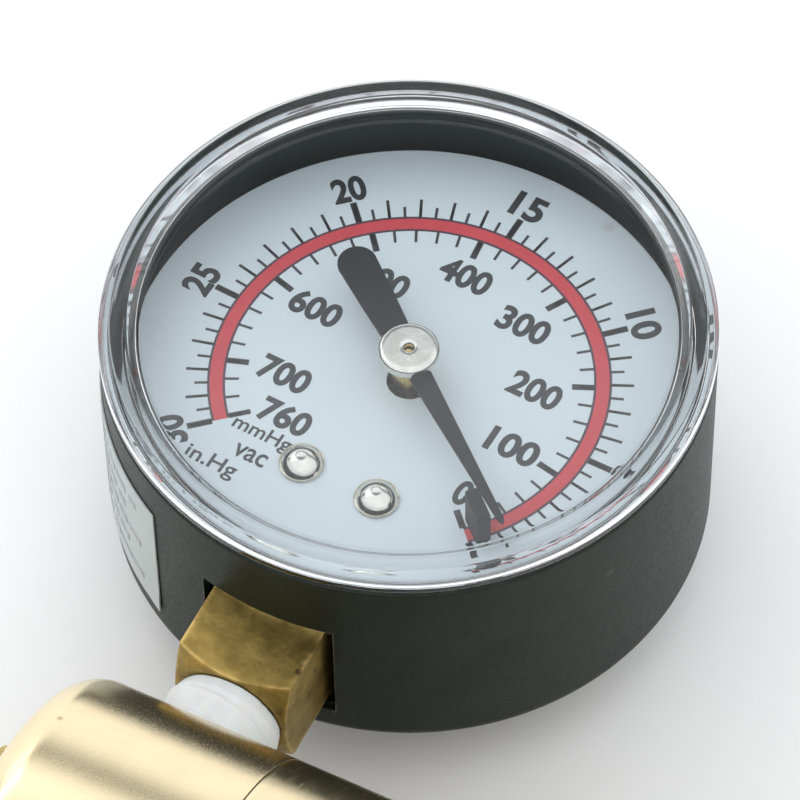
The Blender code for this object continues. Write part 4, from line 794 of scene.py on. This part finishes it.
def lettering(text, height, width, place, weight):
    """A word as a thin mesh of an exact height and width, with its middle at a place on the dial."""
    curve = bpy.data.curves.new("lettering", "FONT")
    curve.body = text
    curve.resolution_u = 5
    curve.offset = weight
    curve.extrude = 0.01
    obj = made_real(new_object("lettering", curve))
    points = [v.co for v in obj.data.vertices]
    low = Vector(map(min, zip(*points)))
    high = Vector(map(max, zip(*points)))
    sides = high - low
    scale = Matrix.Diagonal((width / sides.x, height / sides.y, PRINT / sides.z, 1))
    to_middle = Matrix.Translation((-(low.x + high.x) / 2, -(low.y + high.y) / 2, -low.z))
    obj.data.transform(Matrix.Translation((0, 0, PRINT_LIFT)) @ scale @ to_middle)
    obj.data.transform(Matrix.Translation((*place, 0)))
    return obj


def joined(name, objects):
    shape = bmesh.new()
    for obj in objects:
        shape.from_mesh(obj.data)
        bpy.data.objects.remove(obj, do_unlink=True)
    return object_of(name, shape)


def make_numbers():
    """Inch numbers turned to face outwards, upright millimetre numbers, and the names of the units."""
    outer = []
    for inches in range(5, INCHES + 1, 5):
        text = str(inches)
        width = INCH_DIGIT * len(text) + INCH_GAP * (len(text) - 1)
        number = lettering(text, INCH_HIGH, width, (0, OUTER_NUMBERS_R), NUMBER_WEIGHT)
        at = math.radians(degrees_of(inches))
        number.data.transform(Matrix.Rotation(at - math.pi / 2, 4, "Z"))
        outer.append(number)
    print_on_dial(joined("inch_numbers", outer), print_black)
    inner = [
        lettering(text, MM_HIGH, MM_DIGIT if text == "0" else MM_NUMBER, place, NUMBER_WEIGHT)
        for text, place in MM_PLACES.items()
    ]
    print_on_dial(joined("millimetre_numbers", inner), print_black)
    words = [lettering(text, height, width, place, UNIT_WEIGHT) for text, height, width, place in UNITS]
    print_on_dial(joined("unit_words", words), print_black)


# -------------------- pointer, hub, screws and stop

TAIL, BULB_R = 12.5, 1.75  # the pointer's tail behind its centre and the round end of it
POINTER_THICK = 0.4
POINTER_HOLE_R = 0.9


def make_pointer():
    """The needle: a broad round tail narrowing to the hub, then a long tapered blade."""
    centre = Vector((CENTRE.x, CENTRE.y, 0))
    tip = max((v.co for v in nodes["gauge_pointer"].data.vertices), key=lambda p: (p.xy - centre.xy).length)
    heading = math.atan2(tip.y - centre.y, tip.x - centre.x)
    reach = (tip.xy - centre.xy).length / MM
    right = [
        *arc((BULB_R - TAIL, 0), BULB_R, 180, 280, 12),
        (-6.5, -1.55),
        (-2.6, -1.32),
        (2.4, -0.98),
        (reach - 3.6, -0.42),
        (reach - 0.5, -0.30),
        (reach, -0.12),
    ]
    left = [(x, -y) for x, y in right[::-1]][:-1]
    needle = plate("pointer_needle", right + left, 0, POINTER_THICK)
    needle = boolean(needle, rod("hole", POINTER_HOLE_R, -1, 1))
    place = GAUGE @ Matrix.Translation((0, 0, POINTER_RISE)) @ Matrix.Rotation(heading, 4, "Z")
    finished(rounded(needle, 0.06, 2), pointer_black, "gauge_pointer", where=place)


def make_hub():
    """The bright cap over the pointer's centre, domed at its edge, and the shaft it sits on."""
    low, high = (above_dial(corner.z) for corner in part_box("pointer_hub"))
    mouth, crown, edge, recess = 0.12, 0.38, 0.12, 0.5
    profile = [
        (0.45, low + recess),
        *arc((0.6, high - mouth), mouth, 180, 90, 3),
        *arc((HUB_R - crown, high - crown), crown, 90, 0, 8),
        *arc((HUB_R - edge, low + edge), edge, 0, -90, 3),
        (0.9, low),
        (0.9, low + recess),
    ]
    finished(turned("hub_cap", profile, SIDES_RING), nickel, "pointer_hub", where=GAUGE)
    shaft = refined("pinion_shaft", "pinion_and_collar", 0.05, angle=50)
    finished(shaft, clean_brass, "pinion_shaft")


def make_dial_screws():
    """Two domed heads, each with a faint flat left by the driver."""
    for name in ("dial_screw_1", "dial_screw_2"):
        place = (middle(name) - CENTRE) / MM
        radius = span(name).x / 2
        foot, rise = (above_dial(corner.z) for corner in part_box(name))
        sphere = (radius**2 + rise**2) / (2 * rise)
        edge = math.degrees(math.asin(radius / sphere))
        dome = [p for p in arc((0, rise - sphere), sphere, 90, 92 - edge, 14) if p[0] > 0.5]
        dimple = [(0, rise - 0.1), (0.35, rise - 0.08)]
        rim = [(radius, 0.28), (radius - 0.06, 0.1), (1.0, 0.1), (1.0, foot), (0, foot)]
        screw = turned(f"{name}_head", [*dimple, *dome, *rim], SIDES_SMALL)
        finished(screw, nickel, name, where=GAUGE @ Matrix.Translation((place.x, place.y, 0)))


def make_stop():
    finished(refined("zero_stop", "pointer_stop", 0.15, 3), pointer_black, "zero_stop")


# -------------------- label, brass socket and tape

LABEL_FROM = 187.0  # where the label begins, in degrees round the case
LABEL_SKIN = 0.05  # from the case to the label
LABEL_THICK = 0.12
LABEL_PEEL = 0.10  # how far its last low corner stands off
TAPE_BORE_R = 4.6
TAPE_LAPS = 4.0
TAPE_RIDGE, TAPE_FOLD, TAPE_CREASE = 0.14, 0.16, 0.11  # heights of its unevenness
TAPE_SUNK, TAPE_END = 0.20, 0.35  # how far its skin and its ends lie under the full radius


def make_label():
    """A paper label bent round the case, with rows of plain grey bars where it is printed."""
    low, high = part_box("gauge_label")
    corner = Vector((low.x - CENTRE.x, low.y - CENTRE.y)) / MM
    last = 360 + math.degrees(math.atan2(corner.y, -math.sqrt(CASE_R**2 - corner.y**2)))
    sweep = last - LABEL_FROM
    bottom, top = above_dial(low.z), above_dial(high.z)
    steps, rows = 48, 12
    skin = CASE_R + LABEL_SKIN
    shape = bmesh.new()
    grid = []
    for row in range(rows + 1):
        height = bottom + (top - bottom) * row / rows
        line = []
        for i in range(steps + 1):
            angle = math.radians(LABEL_FROM + sweep * i / steps)
            lift = LABEL_PEEL * max(0.0, 1 - (steps - i) / 3) * max(0.0, 1 - row / 3)
            radius = skin + lift + 0.012 * noise.noise(Vector((i * 0.3, row * 0.5, 0)))
            line.append(shape.verts.new(round_axis(radius, angle, height)))
        grid.append(line)
    for lower, upper in zip(grid, grid[1:]):
        for i in range(steps):
            shape.faces.new((lower[i], lower[i + 1], upper[i + 1], upper[i]))
    label = from_bmesh("case_label", shape)
    thick = label.modifiers.new("paper", "SOLIDIFY")
    thick.thickness = LABEL_THICK
    thick.offset = 1
    finished(made_real(label), paper, "gauge_label", where=GAUGE, sharp=60)
    for row in range(5):
        bars = grown(
            f"label_row_{row + 1}", BARS, label_ink, Count=8 if row % 2 else 9, First=LABEL_FROM + 6.0,
            Step=(sweep - 14.0) / 8, Inner=skin, Outer=skin + 0.16, Width=2.6, Rise=0.8, Vary=0.55,
            Seed=row + 3,
        )
        bars.data.transform(Matrix.Translation((0, 0, bottom + 2.0 + 2.5 * row)))
        finished(bars, label_ink, "gauge_label", where=GAUGE)


def make_socket():
    finished(refined("gauge_socket", "brass_socket", 0.18, 3, 25), old_brass, "gauge_socket", sharp=30)


def make_tape():
    """Thread tape: thin film wound in a spiral, its laps and small creases standing out."""
    low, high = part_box("thread_tape")
    start, length = (low.y - AXIS.y) / MM, (high.y - low.y) / MM
    outer_r = span("thread_tape").x / 2

    def point(v, angle, inner):
        height = start + length * v
        if inner:
            return round_axis(TAPE_BORE_R, angle, height)
        lap = (TAPE_LAPS * v + angle / (2 * math.pi)) % 1.0
        ridge = TAPE_RIDGE * lap**3
        around = Vector((math.cos(angle), math.sin(angle), 0)) * 1.4
        fold = TAPE_FOLD * noise.noise(around + Vector((0, 0, 3.0 * v)))
        crease = TAPE_CREASE * abs(noise.noise(around * 2.2 + Vector((0, 0, 7.0 * v + 1.5 * angle))))
        ends = TAPE_END * max(0.0, 1 - min(v, 1 - v) * 9)
        return round_axis(outer_r - TAPE_SUNK + ridge + fold + crease - ends, angle, height)

    finished(wrapped("wound_tape", point, 72, 144), tape_white, "thread_tape", where=STEM, sharp=60)


make_case()
make_lens()
make_dial()
make_bands()
make_marks()
make_numbers()
make_pointer()
make_hub()
make_dial_screws()
make_stop()
make_label()
make_socket()
make_tape()


# -------------------- head, barrel, nipple and release knob

HEAD_FILLET = 3.5
HOSE_PORT_R, HOSE_PORT_DEPTH, PASSAGE_R = 5.0, 6.0, 2.0
VALVE_SEAT_R, VALVE_SEAT_DEPTH = 6.5, 3.5
RELEASE_PORT_R, CROSS_R = 3.2, 1.6
GAUGE_PORT_FROM, RELEASE_PORT_FROM = 9.2, 6.0  # from the axis to the bottoms of the two side ports
GROOVE_HALF, GROOVE_R = 1.05, 11.8
BORE_R = 13.5
BARREL_CHAMFER = 0.3
BARB_R, NIPPLE_BORE_R, STEM_SUNK = 3.4, 1.6, 0.7
HEX_LONG, HEX_CORNER_R, HEX_CONE_R, HEX_FACE_R, HEX_CHAMFER = 4.0, 8.0, 9.2, 7.1, 1.2


def along_barrel(x):
    return (x - AXIS.x) / MM


def make_head():
    """The solid front end: filleted nose, spigot inside the barrel, and the drilled ports."""
    front, spigot_end = (along_barrel(corner.x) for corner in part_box("pump_head"))
    back = along_barrel(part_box("pump_barrel")[0].x) - 0.1
    spigot_r = span("head_oring").z / 2 - 0.15
    profile = [
        (spigot_r, spigot_end),
        (spigot_r, back),
        *arc((BARREL_R - 0.05, back - 0.05), 0.05, 90, 0, 3),
        *arc((BARREL_R - HEAD_FILLET, front + HEAD_FILLET), HEAD_FILLET, 0, -90, 16),
        (HOSE_PORT_R, front),
        (HOSE_PORT_R, front + HOSE_PORT_DEPTH),
        (PASSAGE_R, front + HOSE_PORT_DEPTH),
        (PASSAGE_R, spigot_end - VALVE_SEAT_DEPTH),
        (VALVE_SEAT_R, spigot_end - VALVE_SEAT_DEPTH),
        (VALVE_SEAT_R, spigot_end),
    ]
    head = turned("pump_head_body", profile, SIDES_LARGE)
    seal = along_barrel(middle("head_oring").x)
    groove_low, groove_high, mouth = seal - GROOVE_HALF, seal + GROOVE_HALF, spigot_r + 1
    groove = [(mouth, groove_high), (mouth, groove_low), (GROOVE_R, groove_low), (GROOVE_R, groove_high)]
    head = boolean(head, turned("oring_groove", groove, SIDES_RING))
    gauge_port_r = span("thread_tape").x / 2 + 0.2
    for name, radius, start, side in (
        ("gauge_port", gauge_port_r, GAUGE_PORT_FROM, 1),
        ("release_port", RELEASE_PORT_R, RELEASE_PORT_FROM, -1),
    ):
        tool = rod(name, radius, start, 20, SIDES_SMALL)
        tool.data.transform(Matrix.Rotation(-side * math.pi / 2, 4, "X"))
        tool.data.transform(ALONG_X.inverted())
        head = boolean(head, tool)
    drill = rod("cross_drilling", CROSS_R, -7, 10)
    drill.data.transform(ALONG_X.inverted() @ ALONG_Y)
    finished(boolean(head, drill), gold, "pump_head", where=BARREL)


def make_barrel():
    """The plain tube, eased outside and chamfered inside at both ends."""
    start, end = (along_barrel(corner.x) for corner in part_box("pump_barrel"))
    profile = [
        *arc((BARREL_R - 0.15, end - 0.15), 0.15, 90, 0, 3),
        *arc((BARREL_R - 0.05, start + 0.05), 0.05, 0, -90, 3),
        (BORE_R + BARREL_CHAMFER, start),
        (BORE_R, start + BARREL_CHAMFER),
        (BORE_R, end - BARREL_CHAMFER),
        (BORE_R + BARREL_CHAMFER, end),
    ]
    finished(turned("barrel_tube", profile, SIDES_LARGE), gold_turned, "pump_barrel", where=BARREL)


def make_nipple():
    """A hexagon with chamfered corners, then three barbs whose lips are slightly rounded."""
    tip, inside = (along_barrel(corner.x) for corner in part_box("hose_nipple"))
    face = along_barrel(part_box("pump_head")[0].x) - 0.02
    root = BARB_R - STEM_SUNK
    pitch = (face - HEX_LONG - tip - 2) / 3
    profile = [
        (NIPPLE_BORE_R + 0.15, tip),
        (NIPPLE_BORE_R, tip + 0.15),
        (NIPPLE_BORE_R, inside),
        (3.9, inside),
        (3.9, face - 2),
        (root, face - 2),
    ]
    for i in (2, 1, 0):
        start = tip + i * pitch
        profile.append((root, start + pitch * 0.8))
        profile += arc((BARB_R - 0.12, start + pitch * 0.74), 0.12, 60, -60, 4)
        profile.append((BARB_R - (STEM_SUNK if i else 0.9), start + 0.02))
    nipple = turned("barbed_nipple", profile, SIDES_RING)
    flats = plate("nipple_hexagon", arc((0, 0), HEX_CORNER_R, 0, 300, 5), face - HEX_LONG, face)
    cone = [
        (0, face + 1),
        (HEX_CONE_R, face + 1),
        (HEX_CONE_R, face - HEX_LONG + HEX_CHAMFER),
        (HEX_FACE_R, face - HEX_LONG - 0.02),
        (0, face - HEX_LONG - 0.02),
    ]
    flats = boolean(flats, turned("corner_cone", cone, SIDES_RING), "INTERSECT")
    flats = boolean(rounded(flats, 0.12, 2), rod("hexagon_bore", 2.6, -60, 0, SIDES_SMALL))
    for piece in (nipple, flats):
        finished(piece, clean_brass, "hose_nipple", where=BARREL)


def make_release():
    """The release knob, fluted round its edge, with the ring pressed into its end."""
    finished(refined("release_knob", "fluted_release_knob", 0.12), clean_brass, "release_knob")
    low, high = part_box("release_knob")
    ring = turned("cap_ring", [(5.2, -0.1), (4.6, -0.1), (4.6, 0.06), (5.2, 0.06)], SIDES_RING)
    end = Matrix.Translation(((low.x + high.x) / 2, low.y, (low.z + high.z) / 2))
    ring.data.transform(end @ TO_METRES @ Matrix.Rotation(math.pi / 2, 4, "X"))
    finished(ring, old_brass, "release_knob")


# -------------------- handles, springs and the inner parts

# What is refined from the CAD: node, piece, how much its edges are eased, finish.
EASED = (
    ("pump_frame", "cast_frame", 0.55, gold),
    ("lever", "squeeze_lever", 0.55, gold),
    ("handle_grip", "dipped_handle_grip", 0.9, vinyl),
    ("lever_grip", "dipped_lever_grip", 0.9, vinyl),
    ("rod_guide", "moulded_rod_guide", 0.3, nylon),
    ("lever_pin", "headed_lever_pin", 0.2, steel),
    ("piston_rod", "plated_piston_rod", 0.15, steel),
    ("cross_pin", "plated_cross_pin", 0.15, steel),
)
INNER_EDGE = 0.08

# Springs: node, piece, joint, turns, wire radius, axis it shortens along and end that stays put.
SPRINGS = (
    ("return_spring", "wound_return_spring", "piston_stroke", 7.0, 0.65, 0, 1),
    ("release_spring", "wound_release_spring", "release_pull", 4.0, 0.25, 1, 0),
)

LOOKS = {
    "gold_metal": gold, "brass": clean_brass, "rubber": rubber, "nylon": nylon, "steel": steel,
    "nickel": nickel, "case_paint": case_black, "pointer_paint": pointer_black, "lens_plastic": clear,
    "dial_paint": dial_white, "label_paper": paper, "thread_tape": tape_white, "vinyl": vinyl,
}


def make_handles():
    """Frame and lever in the barrel's gold, their edges eased, with dipped grips over them."""
    for node, name, edge, look in EASED:
        finished(refined(node, name, edge, 3, 35), look, node)


def make_springs():
    """Both springs, each wound along the length of its box from its low end."""
    for node, name, joint, turns, wire, lengthways, fixed_end in SPRINGS:
        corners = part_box(node)
        low, high = corners
        sides = high - low
        spring = grown(
            name, COIL, steel, Turns=turns, Radius=sides.z / MM / 2 - wire,
            Length=sides[lengthways] / MM - 2 * wire, Wire=wire, Steps=32,
        )
        start = (low + high) / 2
        start[lengthways] = low[lengthways] + wire * MM
        along = (ALONG_X, ALONG_Y)[lengthways]
        finished(spring, steel, node, where=Matrix.Translation(start) @ TO_METRES @ along)
        axis = Vector((0, 0, 0))
        axis[lengthways] = 1
        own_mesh(spring)


def make_the_rest():
    """Inner parts: a smoothed copy of each, with the finish of its material."""
    for name, node in nodes.items():
        if node.hide_render:
            continue
        finished(refined(name, f"finished_{name}", INNER_EDGE), LOOKS[slot_of[name]], name)


make_head()
make_barrel()
make_nipple()
make_release()
make_handles()
make_springs()
make_the_rest()


# -------------------- camera, floor and light

AZIMUTH, ELEVATION, ROLL = math.radians(27.76), math.radians(55.54), math.radians(-1.25)
LOOK_AT = Vector((CENTRE.x + 0.0002156, CENTRE.y - 0.0022536, 0.023))
DISTANCE = 0.47775
FOCAL_LENGTH, SENSOR = 249.4, 36
TABLE_HALF, TABLE_Z = 3, -0.0002
WALLS, DARK_STRIP = (1.27, 1.29, 1.32), (0.20, 0.22, 0.23)
STRIP = (0.0, 0.04, 0.16, 0.32)  # where the dark strip begins, is full, stops being full and ends
LAMP_SIDE, LAMP_DISTANCE, LAMP_WATTS, LAMP_COLOUR = 0.36, 0.65, 0.55, (1.0, 0.99, 0.97)


def placed(place, right, up, back):
    return Matrix.Translation(place) @ Matrix((right, up, back)).transposed().to_4x4()


def make_camera():
    """A long lens looking down at the gauge; returns the direction back towards the camera."""
    back = Vector((
        math.sin(AZIMUTH) * math.cos(ELEVATION),
        -math.cos(AZIMUTH) * math.cos(ELEVATION),
        math.sin(ELEVATION),
    ))
    right = Vector((math.cos(AZIMUTH), math.sin(AZIMUTH), 0))
    up = back.cross(right)
    rolled_right = math.cos(ROLL) * right + math.sin(ROLL) * up
    rolled_up = math.cos(ROLL) * up - math.sin(ROLL) * right
    lens = bpy.data.cameras.new("view")
    lens.lens = FOCAL_LENGTH
    lens.sensor_width = SENSOR
    lens.clip_start = 0.01
    camera = new_object("view", lens)
    camera.matrix_world = placed(LOOK_AT + back * DISTANCE, rolled_right, rolled_up, back)
    scene.camera = camera
    return back


def make_lamp(name, place, target, up):
    """A square softbox that faces the target, with its height along up."""
    lamp = bpy.data.lights.new(name, "AREA")
    lamp.shape = "SQUARE"
    lamp.size = LAMP_SIDE
    lamp.energy = LAMP_WATTS
    lamp.color = LAMP_COLOUR
    back = (place - target).normalized()
    right = up.cross(back).normalized()
    new_object(name, lamp).matrix_world = placed(place, right, back.cross(right), back)


def make_light(back):
    """White walls with one darker strip, which the window mirrors, and a softbox to the left of it."""
    mirror = Vector((-back.x, -back.y, back.z))
    away = (Vector((-back.x, -back.y, 0)) - mirror * (back.x**2 + back.y**2)).normalized()
    leftward = mirror.cross(away).normalized()
    if leftward.x > 0:
        leftward.negate()
    world = bpy.data.worlds.new("white_room")
    world.use_nodes = True
    tree = world.node_tree
    begins, full, fades, ends = STRIP
    heading = add_node(tree, "ShaderNodeTexCoord").outputs["Generated"]
    add = partial(add_node, tree)
    height = add("ShaderNodeVectorMath", {0: heading, 1: away}, operation="DOT_PRODUCT").outputs["Value"]
    rise = add("ShaderNodeMapRange", {"Value": height, "From Min": begins, "From Max": full})
    fall = add("ShaderNodeMapRange", {"Value": height, "From Min": ends, "From Max": fades})
    walls = mixed(tree, worked_out(add, "MULTIPLY", rise.outputs[0], fall.outputs[0]), WALLS, DARK_STRIP)
    tree.links.new(walls, tree.nodes["Background"].inputs["Color"])
    scene.world = world
    above = Vector((CENTRE.x, CENTRE.y, 0.031))
    key = above + (mirror + 0.55 * leftward).normalized() * LAMP_DISTANCE
    make_lamp("window_softbox", key, above, away)


def make_floor():
    shape = bmesh.new()
    bmesh.ops.create_grid(shape, x_segments=1, y_segments=1, size=TABLE_HALF)
    floor = from_bmesh("pale_table", shape)
    floor.location.z = TABLE_Z
    floor.data.materials.append(table_white)


make_floor()
make_light(make_camera())
scene.view_settings.view_transform = "Standard"
